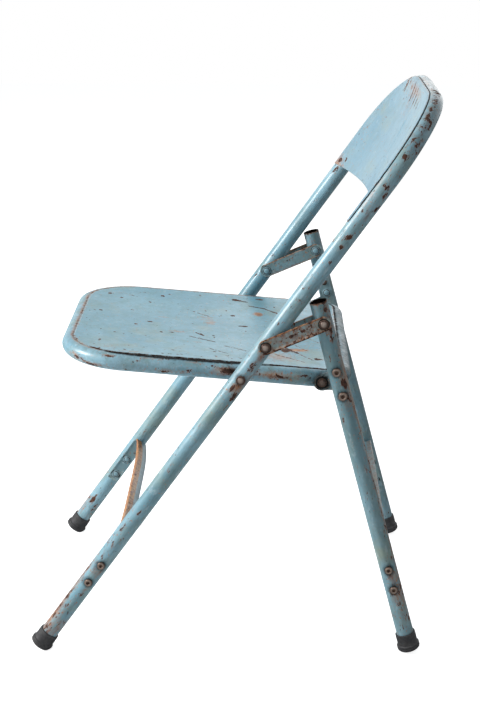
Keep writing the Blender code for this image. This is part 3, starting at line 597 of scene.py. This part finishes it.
# Degrees round the rim: 0 faces into the seat, 90 up, 180 outwards; the sheet's edge is at 72.
# Marks are mm forward of the pivot, degrees, half length, half turn, strength.
rim_chips = metres([
    (185.7, 134, 8, 10, 0.2), (145.9, 146, 6, 10, 0.2), (71.9, 184, 5, 14, 0.22), (41.6, 140, 6, 12, 0.18),
    (15.6, 165, 12, 20, 0.2), (108.4, 208, 6, 12, 0.22), (-55.1, 177, 6, 16, 0.22), (-20, 150, 10, 12, 0.18),
    (225, 190, 6, 14, 0.22), (205, 215, 10, 12, 0.2), (165, 212, 6, 10, 0.18), (-90, 160, 8, 16, 0.2)], ROUND)
rim_stains = metres([
    (185.7, 128, 12, 12, 0.55), (230, 175, 10, 16, 0.45), (100, 200, 50, 20, 0.36), (20, 165, 30, 40, 0.5),
    (-50, 170, 40, 34, 0.5), (130, 120, 20, 10, 0.45), (210, 205, 30, 14, 0.45),
    (70, 125, 20, 12, 0.35)], ROUND)
rim_dirt = metres([
    (0, 180, 14, 40, 0.7), (15.6, 150, 14, 26, 0.5), (-115, 180, 18, 60, 0.85),
    (-60, 178, 20, 16, 0.45)], ROUND)
D, F, X = turns[None, :], rim_f[:, None], rim_x[:, None]
# The seam is a thin rusty line with a dark line of painted shade in its gap, and along the left side, where
# the sheet lifts, a thick black band of painted shade
LEFT_EDGE, FADE = 0.150, 0.020
on_left = rise(X - LEFT_EDGE, FADE)
near_side = on_left * rise(0.205 - F, FADE)
thick = on_left * np.exp(-((F - 0.075) / 0.115) ** 4)
at_seam = bell(D - 79.0 - 14.0 * thick, 8.0 + 13.0 * thick)
rear_end = bell(F + 0.150, 0.030)
uneven = 0.88 + 0.12 * np.sin(110.0 * F + 3.0 * np.sin(60.0 * F)) * np.sin(160.0 * X + 1.0)
either = np.where(X > 0, 1.0, 0.7)
chips = 1.6 * spots(F, D, rim_chips) * either + at_seam * uneven * (0.20 + 0.06 * near_side)
chips += 0.22 * spots(F, D, rim_stains) * either
seam_rust = (1.0 - 0.7 * rear_end) * (0.55 - 0.35 * near_side) * bell(D - 84.0, 14.0) * uneven
stains = spots(F, D, rim_stains) * either + seam_rust + 0.10 * rear_end
seam_dirt_and_gap_shade = at_seam * (0.55 + 0.55 * near_side + 0.60 * thick) * uneven
grimes_and_shade = spots(F, D, rim_dirt) * either + seam_dirt_and_gap_shade + 0.45 * rear_end
seat_rim = make_piece("seat_rim_tube", [(rings, True, True)], seat_paint, chips, stains, grimes_and_shade)
fit(seat_rim, "seat", "seat_paint", "seat_rim")


# ---- Seat panel
# Steel sheet laid in the rim and pressed into a shallow dish, its edge turned down on the
# tube. Its paint is scratched, chipped in round specks, and stained where water has stood.

DISH, EDGE_IN = 0.008, 0.0040


def seat_sheet(around, steps):
    """Rings from the turned-down edge to the middle: the outline shrunk towards the middle by
    v, with its height falling by the dish times 1 - (1 - v) squared."""
    x, f = rim_outline(EDGE_IN, around)
    mid = 0.5 * (RIM_FRONT - RIM_REAR)
    top = math.sqrt((TUBE + GAP) ** 2 - EDGE_IN ** 2)
    v = np.concatenate([[0.0, 0.002, 0.005, 0.009], np.linspace(0.015, 1.0, steps)])[:, None]
    drop = DISH * (1.0 - (1.0 - v) ** 2) + 0.0006 * bell(v, 0.004)
    return seat(mid + (f - mid) * (1.0 - v), top - drop, x * (1.0 - v)), v


sheet_points, v = seat_sheet(440, 96)
X = sheet_points[..., 0]
F = -((sheet_points - SEAT_PIVOT) @ SEAT_BACKWARD)
# Chips: mm across to the left, mm forward of the pivot, half sizes, strength
seat_chips = metres([
    (-143, 244.1, 5, 3, 0.3), (-132.9, 217.3, 4, 3.4, 0.32), (-117.9, 196.6, 3, 4.4, 0.28),
    (-33.9, 221.6, 3, 3.4, 0.28), (14.9, 164.2, 3, 2.6, 0.28), (-6.5, 143.7, 2.8, 4.4, 0.32),
    (41.9, 123.6, 3, 3, 0.28), (37.2, 107.4, 2.4, 4.4, 0.26), (-146.9, 133, 4.4, 3.6, 0.34),
    (-156.4, 122.3, 2, 4.4, 0.26), (-155.2, 16.8, 5, 7, 0.34), (-77.6, 18.2, 3.6, 3.6, 0.32),
    (-167.1, -22, 3.6, 8, 0.32), (-26.1, 1.5, 3.4, 8, 0.32), (90.6, -63.9, 12, 9, 0.34),
    (100, -80, 5, 4, 0.22), (-110, 150, 2.4, 2.4, 0.22), (-60, 175, 2.2, 3, 0.24), (70, 190, 2.6, 3, 0.24),
    (120, 208, 4, 3, 0.26), (-90, 62, 2.4, 2.4, 0.24), (-100, 30, 2.4, 2.8, 0.24), (130, 40, 3, 3, 0.24),
    (140, 100, 2.4, 4, 0.2), (50, -30, 3, 5, 0.22), (-120, -70, 4, 6, 0.26), (-30, -100, 5, 5, 0.26),
    (130, -110, 6, 6, 0.26)], FLAT)
seat_stains = metres([
    (-95.1, -21, 9, 7, 1.1), (87.6, -80.2, 6, 16, 0.8), (-53.3, 61.3, 22, 20, 0.3), (-30, 50, 12, 10, 0.4),
    (30, 100, 6, 16, 0.45), (170, 155, 6, 40, 0.35), (0, -75, 120, 50, 0.24), (130, -50, 30, 30, 0.4),
    (-40, 125, 4, 12, 0.4), (80, 70, 4, 10, 0.45), (-140, 210, 20, 20, 0.2), (150, 190, 12, 12, 0.3)], FLAT)
# Scratches: from mm across and forward to mm across and forward, half width, strength
seat_lines = metres([
    (26.9, 71.7, 39.7, 60, 1.6, 0.26), (30, 64, 39.7, 60.6, 1.5, 0.22), (50.4, 79.6, 70.8, 41.5, 1.4, 0.24),
    (-132, -6.2, -125, -30, 1.6, 0.26), (-125, -30, -104.7, -52.8, 1.6, 0.26),
    (-155.7, 18, -150, -2, 1.6, 0.24), (20, -50, 90, -95, 1.3, 0.18), (50, -45, 140, -105, 1.3, 0.17),
    (100, -30, 150, -90, 1.3, 0.17), (0, -80, 60, -120, 1.3, 0.16), (110, 50, 135, 20, 1.3, 0.16),
    (-90, 90, -60, 50, 1.3, 0.15), (90, 25, 120, -25, 1.3, 0.17), (-145, 200, -130, 170, 1.3, 0.16)], LINE)
# And seventy specks of 1 to 2.5 mm anywhere, closer together at the front and along the near edge
draw = np.random.default_rng(11)
specks = [(0.166 * (1.0 - draw.random() ** 2) * (1 if draw.random() < 0.7 else -1),
           -0.12 + 0.36 * draw.random() ** 0.8, 0.0010 + 0.0014 * draw.random(),
           0.0010 + 0.0015 * draw.random(), 0.24 + 0.12 * draw.random()) for _ in range(70)]
edge = bell(v, 0.012) * (0.8 + 0.2 * np.sin(230.0 * F) * np.sin(180.0 * X))
near_edge = edge * rise(X - LEFT_EDGE, FADE)
lines = scratches(X, F, seat_lines)
chips = 1.9 * spots(X, F, seat_chips + specks, 1.5) + 2.6 * lines + 0.25 * edge + 0.20 * near_edge
stains = spots(X, F, seat_stains) + 1.2 * lines + 0.45 * edge
# A stronger blue than the frame's, because sitters keep it rubbed clean
sheet_paint = peeling_paint("sky_blue_gloss_on_seat", '#86bdd0', '#72aec4', '#7fa09c', 0.33,
                            speck=0.016, stretch=1.0, wear=0.60)
# The left edge, where the sheet lifts off the rim, is painted dark as the shade in that gap
seat_panel = make_piece("seat_panel_sheet", [(sheet_points, False, True)], sheet_paint, chips, stains,
                        0.75 * near_edge, thickness=SHEET)
fit(seat_panel, "seat", "panel_paint", "seat_panel")


# ---- Rivets and bolts
# Solid steel rivets with domed heads at the pivots, and tubular ones with hollow centres at
# the stretchers and brackets. Their outer heads have lost their paint and gone brown.

def turned(profile, centre, axis, around):
    """Surface of revolution: radius times the circle's direction, plus height along the axis."""
    axis = np.asarray(axis, float)
    side = np.cross(axis, (0.0, 0.3, 0.9))
    side /= np.linalg.norm(side)
    other = np.cross(axis, side)
    a = 2.0 * np.pi * np.arange(around) / around
    circle = np.cos(a)[:, None] * side + np.sin(a)[:, None] * other
    radius, height = np.array(profile, float).T
    return centre + radius[:, None, None] * circle[None, :, :] + height[:, None, None] * axis


def brown_steel(name, dark, mid, pale):
    """Bare mild steel, rubbed on the crown, whose pale colour stands also as a painted highlight, and
    rusted round it: brown, half glossy, with a 2 mm mottle and pitting drawn coarse enough to show.
    Where a head was never worn bare, by its stain number, the blue paint is still on it."""
    mat, tree = blank(name)
    mottle = add(tree, 'TexNoise', Vector=add(tree, 'TexCoord', 'Object'), Scale=420.0, Detail=5.0,
                 Roughness=0.65)
    rubbed_and_highlit, painted = (add(tree, 'Attribute', 'Fac', {'attribute_name': key}) for key in ('chip', 'stain'))
    share = add(tree, 'MapRange', Value=mottle, From_Min=0.38, From_Max=0.62)
    left_on = add(tree, 'Math', 0, TIMES_PLUS, _0=mottle, _1=0.8, _2=painted)
    film = add(tree, 'MapRange', Value=left_on, From_Min=0.80, From_Max=0.92)
    colour = srgb(dark)
    for part, over in ((share, mid), (rubbed_and_highlit, pale), (film, '#86a9b4')):
        colour = add(tree, 'Mix', 2, RGBA, _0=part, _6=colour, _7=srgb(over))
    shader = add(tree, 'BsdfPrincipled', Base_Color=colour,
                 Metallic=add(tree, 'MapRange', Value=film, To_Min=0.60, To_Max=0.0),
                 Roughness=add(tree, 'MapRange', Value=share, To_Min=0.34, To_Max=0.52),
                 Normal=add(tree, 'Bump', Height=mottle, Strength=0.5, Distance=0.0003))
    add(tree, 'OutputMaterial', Surface=shader)
    return mat


# Solid rivets, dark brown with a greyer crown, pale from rubbing and as a painted highlight
rivet_steel = brown_steel("rusted_rivet_steel", '#33231e', '#5e483c', '#a3968d')
PLATE, STRIP = 0.0025, 0.002
HEAD_R, HEAD_H, INNER_H, SHANK_R = 0.0066, 0.0032, 0.0022, 0.0030
HOLLOW_R, SCREW_R, SCREW_LENGTH, SCREW_T = 0.0058, 0.0048, 0.009, 0.458
# Planes across the chair: the tubes' inner and outer faces, and the plates that lie on them
FRAME_INNER_X = LEG_X - TUBE
TUBE_OUT_X = LEG_X + TUBE + GAP
EAR_X = FRAME_INNER_X - GAP - PLATE
LINK_OUT_X = TUBE_OUT_X + PLATE + GAP
LINK_IN_X = EAR_X - GAP
LINK_PIVOT, REAR_PIVOT = front(LINK_PIVOT_T), rear(LINK_REAR_T)
EAR_T, EAR_OUT, EAR_R, EAR_STEP = 0.4220, 0.0243, 0.0120, 0.0027
EAR_PIVOT = rear(EAR_T, EAR_OUT)
EAR_IN_X = EAR_X - EAR_STEP


def domed(radius, height, base, hollow):
    """Head profile from its rim to its middle, in shares of its radius and height: a flat collar,
    a groove and a quarter ellipse, or a rounded ring and a sunk centre."""
    a = np.linspace(0.0, 0.5 * np.pi, 12)
    if hollow:
        shares = [(1.0, 0.0)] + list(zip(0.62 + 0.38 * np.cos(a), np.sin(a)))
        shares += [(0.496, 0.95), (0.3844, 0.60), (0.3224, 0.15), (0.0, 0.10)]
    else:
        shares = [(1.0, 0.0), (1.02, 0.10), (0.99, 0.26), (0.93, 0.34), (0.80, 0.40), (0.755, 0.37),
                  (0.73, 0.33)] + list(zip(0.71 * np.cos(a), 0.36 + 0.64 * np.sin(a)))
    return [(radius * r, base + height * h) for r, h in shares]


def rivet(name, node, centre, side, inner_x, outer_x, body, slot, finish, hollow=False, inner_head=True,
          radius=HEAD_R, height=HEAD_H):
    """Shank across X with a head at each end. The chip number is the crown's height, for the pale colour of
    rubbing and of a painted highlight. The stain number is the paint left on the inner head, but for a rusty
    groove."""
    profile = [(0.0, inner_x)]
    if inner_head:
        profile = [(r, 2.0 * inner_x - h) for r, h in reversed(domed(radius, INNER_H, inner_x, False))]
    inner_rows = len(profile)
    profile += [(SHANK_R, inner_x), (SHANK_R, outer_x)]
    head = domed(radius, height * (0.85 if hollow else 1.0), outer_x, hollow)
    profile += head
    crown, painted = np.zeros((2, len(profile)))
    crown[-len(head):] = rise(np.array(head)[:, 1] - outer_x, HEAD_H) ** 3
    painted[:inner_rows] = 0.62 - 0.42 * bell(np.array(profile)[:inner_rows, 0] / radius - 0.76, 0.07)
    numbers = [np.repeat(n[:, None], 32, axis=1) for n in (crown, painted)]
    points = turned(profile, centre, (side, 0.0, 0.0), 32)
    fit(make_piece(name, [(points, False, True)], finish, *numbers), body, slot, node)


# Rivets rolled from tube, a lighter brown: the raised ring pale from rubbing and as a painted highlight, the
# sunk hollow left dark, as dirt and painted shade
bolt_steel = brown_steel("rusted_tubular_rivet", '#3a2822', '#66503f', '#a39489')
for side, tag in SIDES:
    for name, node, centre, inner_x, outer_x, body in (
            ("seat_pivot_rivet_", "seat_rivet_", SEAT_PIVOT, RIM_X - TUBE - GAP, TUBE_OUT_X, "frame"),
            ("link_pivot_rivet_front_", "link_rivet_front_", LINK_PIVOT, LINK_IN_X, LINK_OUT_X, "frame"),
            ("link_pivot_rivet_rear_", "link_rivet_rear_", REAR_PIVOT, LINK_IN_X, LINK_OUT_X, "rear_legs")):
        rivet(name + tag, node + tag, centre, side, inner_x, outer_x, body, "rivet_steel", rivet_steel)
    rivet("ear_pivot_rivet_" + tag, "ear_rivet_" + tag, EAR_PIVOT, side, EAR_IN_X, EAR_IN_X + PLATE + GAP,
          "rear_legs", "rivet_steel", rivet_steel, inner_head=False, height=INNER_H)
    rivet("bracket_screw_" + tag, "bracket_screw_" + tag, rear(SCREW_T), -side, -LINK_IN_X - SCREW_LENGTH,
          -LINK_IN_X, "rear_legs", "bolt_steel", rivet_steel, inner_head=False, radius=SCREW_R,
          height=INNER_H)
    for name, place, holes, inner_x, radius, body in (
            ("bracket", rear, BRACKET_HOLES, LINK_IN_X, HEAD_R, "rear_legs"),
            ("front_stretcher", front, FRONT_HOLES, FRAME_INNER_X - 2 * GAP - STRIP, HOLLOW_R, "frame"),
            ("rear_stretcher", rear, REAR_HOLES, FRAME_INNER_X - 2 * GAP - STRIP, HOLLOW_R, "rear_legs")):
        for number, along in enumerate(holes, 1):
            rivet("%s_rivet_%d_%s" % (name, number, tag), "%s_bolt_%d_%s" % (name, number, tag),
                  place(along), side, inner_x, TUBE_OUT_X, body, "bolt_steel", bolt_steel, hollow=True,
                  radius=radius)


# ---- Bushes
# Short turned steel collars that hold the seat off the frame tube and off the bracket ears. They
# were painted with the chair.

BUSH_R, BUSH_BORE, BEVEL = 0.0080, 0.0033, 0.0002
# The paint on the small parts of the fold: greyed and greened by grease, and speckled with rust
link_paint = peeling_paint("greened_paint_on_plate", '#8aaab2', '#76949a', '#6d776c', 0.25, gloss=0.40,
                           speck=0.030, stretch=1.0)
for side, tag in SIDES:
    for name, centre, end in (("front", SEAT_PIVOT, FRAME_INNER_X - GAP),
                              ("rear", EAR_PIVOT, EAR_IN_X - GAP)):
        start = RIM_X + TUBE + GAP
        profile = [(BUSH_BORE, start), (BUSH_R - BEVEL, start), (BUSH_R, start + BEVEL),
                   (BUSH_R, end - BEVEL), (BUSH_R - BEVEL, end), (BUSH_BORE, end)]
        ob = make_piece("seat_collar_%s_%s" % (name, tag),
                        [(turned(profile, centre, (side, 0.0, 0.0), 40), True, True)], link_paint, sharp=30.0)
        fit(ob, "seat", "link_paint", "seat_bush_%s_%s" % (name, tag))


# ---- Link plates
# Each side has two pressed plates with round ends, one on each face of the tubes. The outer
# one's lower edge is rolled, and both are brown with rust along their edges.

LINK_R = 0.0105
LINK_ALONG = REAR_PIVOT - LINK_PIVOT
LINK_SPAN = float(np.linalg.norm(LINK_ALONG))
LINK_ALONG = LINK_ALONG / LINK_SPAN
LINK_UP = np.cross((1.0, 0.0, 0.0), LINK_ALONG)


def stadium(radius, count):
    """Outline of a bar with half-round ends, a quarter of the points on each end and each side."""
    a = np.linspace(-0.5 * np.pi, 0.5 * np.pi, count // 4)
    s = np.linspace(0.0, LINK_SPAN, count // 4)[1:-1]
    along = np.concatenate([LINK_SPAN + radius * np.cos(a), s[::-1], -radius * np.cos(a), s])
    across = np.concatenate([radius * np.sin(a), np.full(len(s), radius), -radius * np.sin(a),
                             np.full(len(s), -radius)])
    return along, across


EDGE_R = 0.0004


def plate_rows(base, side, out, lip):
    """Rows over a plate: inner face from the middle out, a quarter-round edge, and the outer face
    back to the middle. The lip raises the outer face near the lower edge as a round bead."""
    insets = np.concatenate([np.linspace(LINK_R - 0.00001, 0.0006, 12),
                             EDGE_R * (1.0 - np.sin(np.linspace(0.2, 1.5, 5)))])
    rows = []
    for outer_face, order in ((False, insets), (True, insets[::-1])):
        for inset in order:
            along, across = stadium(LINK_R - inset, 240)
            round_off = EDGE_R * (1.0 - math.sqrt(max(0.0, 1.0 - (1.0 - min(inset / EDGE_R, 1.0)) ** 2)))
            height = PLATE - round_off if outer_face else round_off
            if lip and outer_face:
                window = rise(along - 0.006, 0.010) * rise(LINK_SPAN - 0.006 - along, 0.010)
                height = height + 0.0018 * bell(across + LINK_R - 0.0016, 0.0017) * window
            x = np.reshape(side * (base + out * height), (-1, 1))
            rows.append(LINK_PIVOT + along[:, None] * LINK_ALONG + across[:, None] * LINK_UP + x * ACROSS)
    return np.stack(rows)


# Bare patches: mm from the front pivot, mm up, half sizes, strength
link_marks = metres([
    (42, 1.8, 18, 2.2, 0.34), (70, 4, 8, 3, 0.2), (20, -2, 8, 2, 0.16)], FLAT)
for side, tag in SIDES:
    for place, base, out, worn in (("outer", TUBE_OUT_X, 1, 1.0), ("inner", FRAME_INNER_X - GAP, -1, 0.25)):
        rows = plate_rows(base, side, out, place == "outer")
        offset = rows - LINK_PIVOT
        along, across = offset @ LINK_ALONG, offset @ LINK_UP
        upper, lower = bell(LINK_R - across, 0.0016), bell(LINK_R + across, 0.0030)
        chip = 0.16 * upper + (0.10 + 0.20 * worn) * lower + 0.05 * worn
        chip += worn * spots(along, across, link_marks)
        stain = 0.10 + 0.24 * worn + 0.35 * upper + 0.25 * lower
        pivot = np.minimum(np.hypot(along, across), np.hypot(along - LINK_SPAN, across))
        # Round each pivot head a dark ring, dirty and painted shade at the head's foot, over light dirt all
        # over
        grime_and_shade = (0.45 + 0.50 * worn) * bell(pivot - 0.0070, 0.0010) + 0.14 * worn + 0.10
        plate = make_piece("link_plate_%s_%s" % (place, tag), [(rows, False, True)], link_paint, chip, stain,
                           grime_and_shade, sharp=60.0)
        fit(plate, "link_" + tag, "link_paint", "link_%s_%s" % (place, tag))


# ---- Brackets
# Flat steel plates riveted inside the rear legs, each with a round ear for the seat's rear
# pivot. They are greasy and dark where the ear has turned on its collar.

# The same paint under grease: nearly black about the pivots, pale blue-grey where it is dry
bracket_paint = peeling_paint("greasy_paint_on_bracket", '#9bb8c0', '#7c979d', '#5c655e', 0.26, gloss=0.36,
                              speck=0.02, stretch=1.0)


def closed_ends(rows):
    """The sections with one more at each end, drawn together to the end section's middle."""
    first, last = (np.repeat(rows[[i]].mean(axis=1, keepdims=True), rows.shape[1], axis=1) for i in (0, -1))
    return np.concatenate([first, rows, last])


# From the leg's axis: the strip's back and front edges, and the neck where the ear starts. Along
# it: the strip's ends beyond its lowest rivet and the screw, and half the neck's width
STRIP_BACK, STRIP_FRONT, NECK, ROUND_FROM = -0.009, 0.008, 0.0115, EAR_OUT - 0.001
BELOW_RIVET, ABOVE_SCREW, HALF_NECK = 0.011, 0.010, 0.014


def bracket_plate(side):
    """Sections from the strip's back edge to the ear's tip: each runs up the inner face, round
    both edges and back over the outer face. The ear is set in by a step 4 mm long."""
    low, high = BRACKET_HOLES[0] - BELOW_RIVET, SCREW_T + ABOVE_SCREW
    a = np.radians(np.linspace(96.0, 4.0, 40))
    ahead = np.concatenate([[STRIP_BACK, -0.004, 0.001, STRIP_FRONT, NECK, 0.0145, 0.019],
                            EAR_OUT + EAR_R * np.cos(a)])
    arc_part = np.sqrt(np.maximum(EAR_R ** 2 - (ahead - EAR_OUT) ** 2, 0.0))
    low_at, high_at = (
        np.where(ahead > ROUND_FROM, EAR_T + way * arc_part,
                 np.interp(ahead, [STRIP_BACK, STRIP_FRONT, NECK, ROUND_FROM],
                           [end, end, EAR_T + way * HALF_NECK, EAR_T + way * EAR_R]))
        for way, end in ((-1, low), (1, high)))
    step = EAR_STEP * rise(ahead - (NECK + 0.001), 0.004)
    share = np.linspace(0.02, 0.98, 14)
    v = np.concatenate([share, [0.993, 1.0, 1.0, 0.993], share[::-1], [0.007, 0.0, 0.0, 0.007]])
    x = np.concatenate([np.zeros(15), [EDGE_R, PLATE - EDGE_R], np.full(16, PLATE),
                        [PLATE - EDGE_R, EDGE_R, 0.0]])
    along = low_at[:, None] + (high_at - low_at)[:, None] * v[None, :]
    return closed_ends(rear(along, ahead[:, None], side * (EAR_X - step[:, None] + x[None, :])))


for side, tag in SIDES:
    rows = bracket_plate(side)
    from_pivot = np.linalg.norm((rows - EAR_PIVOT)[..., 1:], axis=-1)
    ring = bell(from_pivot - 0.0100, 0.0010)
    greasy = np.exp(-(from_pivot / 0.0125) ** 6)
    bracket = make_piece("bracket_plate_" + tag, [(rows, False, True)], bracket_paint, 0.10 * ring,
                         0.30 * ring + 0.10, greasy * (1.30 - 0.60 * ring), sharp=40.0)
    fit(bracket, "rear_legs", "link_paint", "bracket_" + tag)


# ---- Stretchers
# Shallow channels pressed from steel strip; the ends are turned down and riveted inside the
# legs. The front one is bowed back, and its web holds the wet and has gone orange.

# Thin old paint on bare strip, pale where it holds and orange where water has stood
stretcher_paint = peeling_paint("blue_paint_on_strip", '#94b5c0', '#769aa6', '#7a8b84', 0.28, gloss=0.38,
                                speck=0.014, stretch=1.0)
BAR_W, BAR_BEND, BAR_LIP, TAB_LIP, BAR_EDGE = 0.018, 0.008, 0.006, 0.0008, 0.0006
HALF_STRIP, BAR_POWER, TAB_END = 0.5 * STRIP, 5, 0.012
FRONT_BAR_T, FRONT_BOW, REAR_BAR_T = 0.202, 0.0103, 0.172


def channel(place, across, up, top, bottom, bow):
    """Section carried along the bar: an 18 mm web whose lips grow from 0.8 mm at the tabs to
    6 mm on the cross-bar. The bar bows back by bow times 1 - (x / half length) to the power 5."""
    x = FRAME_INNER_X - GAP - HALF_STRIP
    a = np.linspace(0.0, 0.5 * np.pi, 10)[1:]
    hx = np.concatenate([np.full(70, x), x - BAR_BEND * (1.0 - np.cos(a)),
                         np.linspace(x - BAR_BEND, 0.0, 80)[1:]])
    ht = np.concatenate([np.linspace(bottom, top - BAR_BEND, 70), top - BAR_BEND * (1.0 - np.sin(a)),
                         np.full(79, top)])
    px, pt = np.concatenate([hx, -hx[-2::-1]]), np.concatenate([ht, ht[-2::-1]])
    ph = bow * (1.0 - np.abs(px / x) ** BAR_POWER)
    dx, dt = np.gradient(px), np.gradient(pt)
    size = np.hypot(dx, dt)
    dx, dt = dx / size, dt / size
    # The path runs from the left tab over to the right one, so this direction is to its inside
    inside = -dt[:, None] * ACROSS + dx[:, None] * up
    lip = TAB_LIP + (BAR_LIP - TAB_LIP) * np.minimum(1.0, np.abs(dx) * 1.2) * (
        1.0 - np.minimum(1.0, np.abs(px) / 0.19) ** 6)
    w, th, s = 0.5 * BAR_W, HALF_STRIP, 0.0018
    zero = np.zeros_like(lip)
    on_bar = rise(lip - TAB_LIP, 0.004)
    # The web's upper face, its rear half falling a little, then the rear lip, underside and front lip
    web = np.linspace(-w + BAR_EDGE, w - BAR_EDGE, 16)
    fall = [-th + 0.0024 * on_bar * max(0.0, c / w) ** 2 for c in web]
    shape_a = np.stack([zero + c for c in (*web, w, w, w - s, w - s, 0.0, -w + s, -w + s, -w, -w)], -1)
    shape_b = np.stack(fall + [fall[-1] + BAR_EDGE, th + lip, th + lip, fall[-1] + 2.0 * th, zero + th,
                               zero + th, th + lip, th + lip, zero - th + BAR_EDGE], -1)
    base = place(pt, 0.0, px) + ph[:, None] * across
    return closed_ends(base[:, None, :] + shape_a[..., None] * across
                       + shape_b[..., None] * inside[:, None, :])


for name, place, across, up, top, holes, bow, body in (
        ("front_stretcher", front, BACK, UP, FRONT_BAR_T, FRONT_HOLES, FRONT_BOW, "frame"),
        ("rear_stretcher", rear, AHEAD, REAR_UP, REAR_BAR_T, REAR_HOLES, 0.0, "rear_legs")):
    rows = channel(place, across, up, top, holes[0] - TAB_END, bow)
    offset = rows - place(0.0)
    T, H, X = offset @ up, offset @ across, np.abs(rows[..., 0])
    on_bar = rise(T - top + 0.012, 0.006) * rise(0.198 - X, 0.003)
    bowed = bow * (1.0 - np.minimum(1.0, X / 0.2027) ** BAR_POWER)
    # On the front bar, the front half of the web is rusted through its paint, the rear half hardly
    rusty = on_bar * rise(0.0005 - (H - bowed), 0.0015) * (1.0 if bow else 0.35)
    hole = np.minimum(np.hypot(T - holes[0], H), np.hypot(T - holes[1], H))
    # Round each rivet head on the tabs a ring of rust and dark, dirty and painted shade at the head's foot
    ring = bell(hole - 0.0072, 0.0010) * (1.0 - on_bar)
    bar = make_piece(name + "_bar", [(rows, False, True)], stretcher_paint, 0.10 * rusty + 0.06 * ring,
                     1.00 * rusty + 0.30 * ring, 0.75 * ring, sharp=35.0)
    fit(bar, body, "stretcher_paint", name)


# ---- Rubber tips
# Moulded black rubber cups pushed on to the tube ends: a plain sleeve, a ring and a domed
# sole, each sole worn flat where it meets the floor, and all greyed with age and dust.

# Natural rubber, once black: matt, with grey dust in 8 mm patches
tip_rubber, tree = blank("aged_black_rubber")
dust = add(tree, 'TexNoise', Vector=add(tree, 'TexCoord', 'Object'), Scale=120.0, Detail=7.0, Roughness=0.7)
share = add(tree, 'MapRange', Value=dust, From_Min=0.46, From_Max=0.78)
tone = add(tree, 'Mix', 2, RGBA, _0=share, _6=srgb('#232326'), _7=srgb('#4a4a49'))
shader = add(tree, 'BsdfPrincipled', Base_Color=tone, Roughness=0.62,
             Normal=add(tree, 'Bump', Height=dust, Strength=0.4, Distance=0.0004))
add(tree, 'OutputMaterial', Surface=shader)

SLEEVE_R, RING_R, TIP_LENGTH, FRONT_SOLE, REAR_SOLE = 0.0146, 0.0166, 0.024, 0.0062, 0.0074
for name, foot, up, sole, body in (("front", front(0.0), UP, FRONT_SOLE, "frame"),
                                   ("rear", rear(0.0), REAR_UP, REAR_SOLE, "rear_legs")):
    for side, tag in SIDES:
        bore, inside = TUBE + GAP, TUBE_START - 0.0005
        a = np.linspace(0.0, 0.5 * np.pi, 14)
        profile = [(0.0, inside), (bore, inside), (bore, TIP_LENGTH), (SLEEVE_R - 0.0006, TIP_LENGTH),
                   (SLEEVE_R, TIP_LENGTH - 0.0006), (SLEEVE_R + 0.0002, 0.015), (SLEEVE_R, 0.0072),
                   (SLEEVE_R + 0.0004, 0.0066), (RING_R - 0.0004, 0.0062), (RING_R, 0.0056),
                   (RING_R, 0.0036), (RING_R - 0.0005, 0.0030), (RING_R, 0.0024)]
        profile += list(zip(RING_R * np.cos(a), 0.0012 - sole * np.sin(a)))
        points = turned(profile, foot + side * LEG_X * ACROSS, up, 56)
        # Worn flat where it stands on the floor
        points[..., 2] = np.maximum(points[..., 2], 0.0)
        tip = make_piece("rubber_tip_%s_%s" % (name, tag), [(points, False, True)], tip_rubber, sharp=40.0)
        fit(tip, body, "tip_rubber", "%s_tip_%s" % (name, tag))
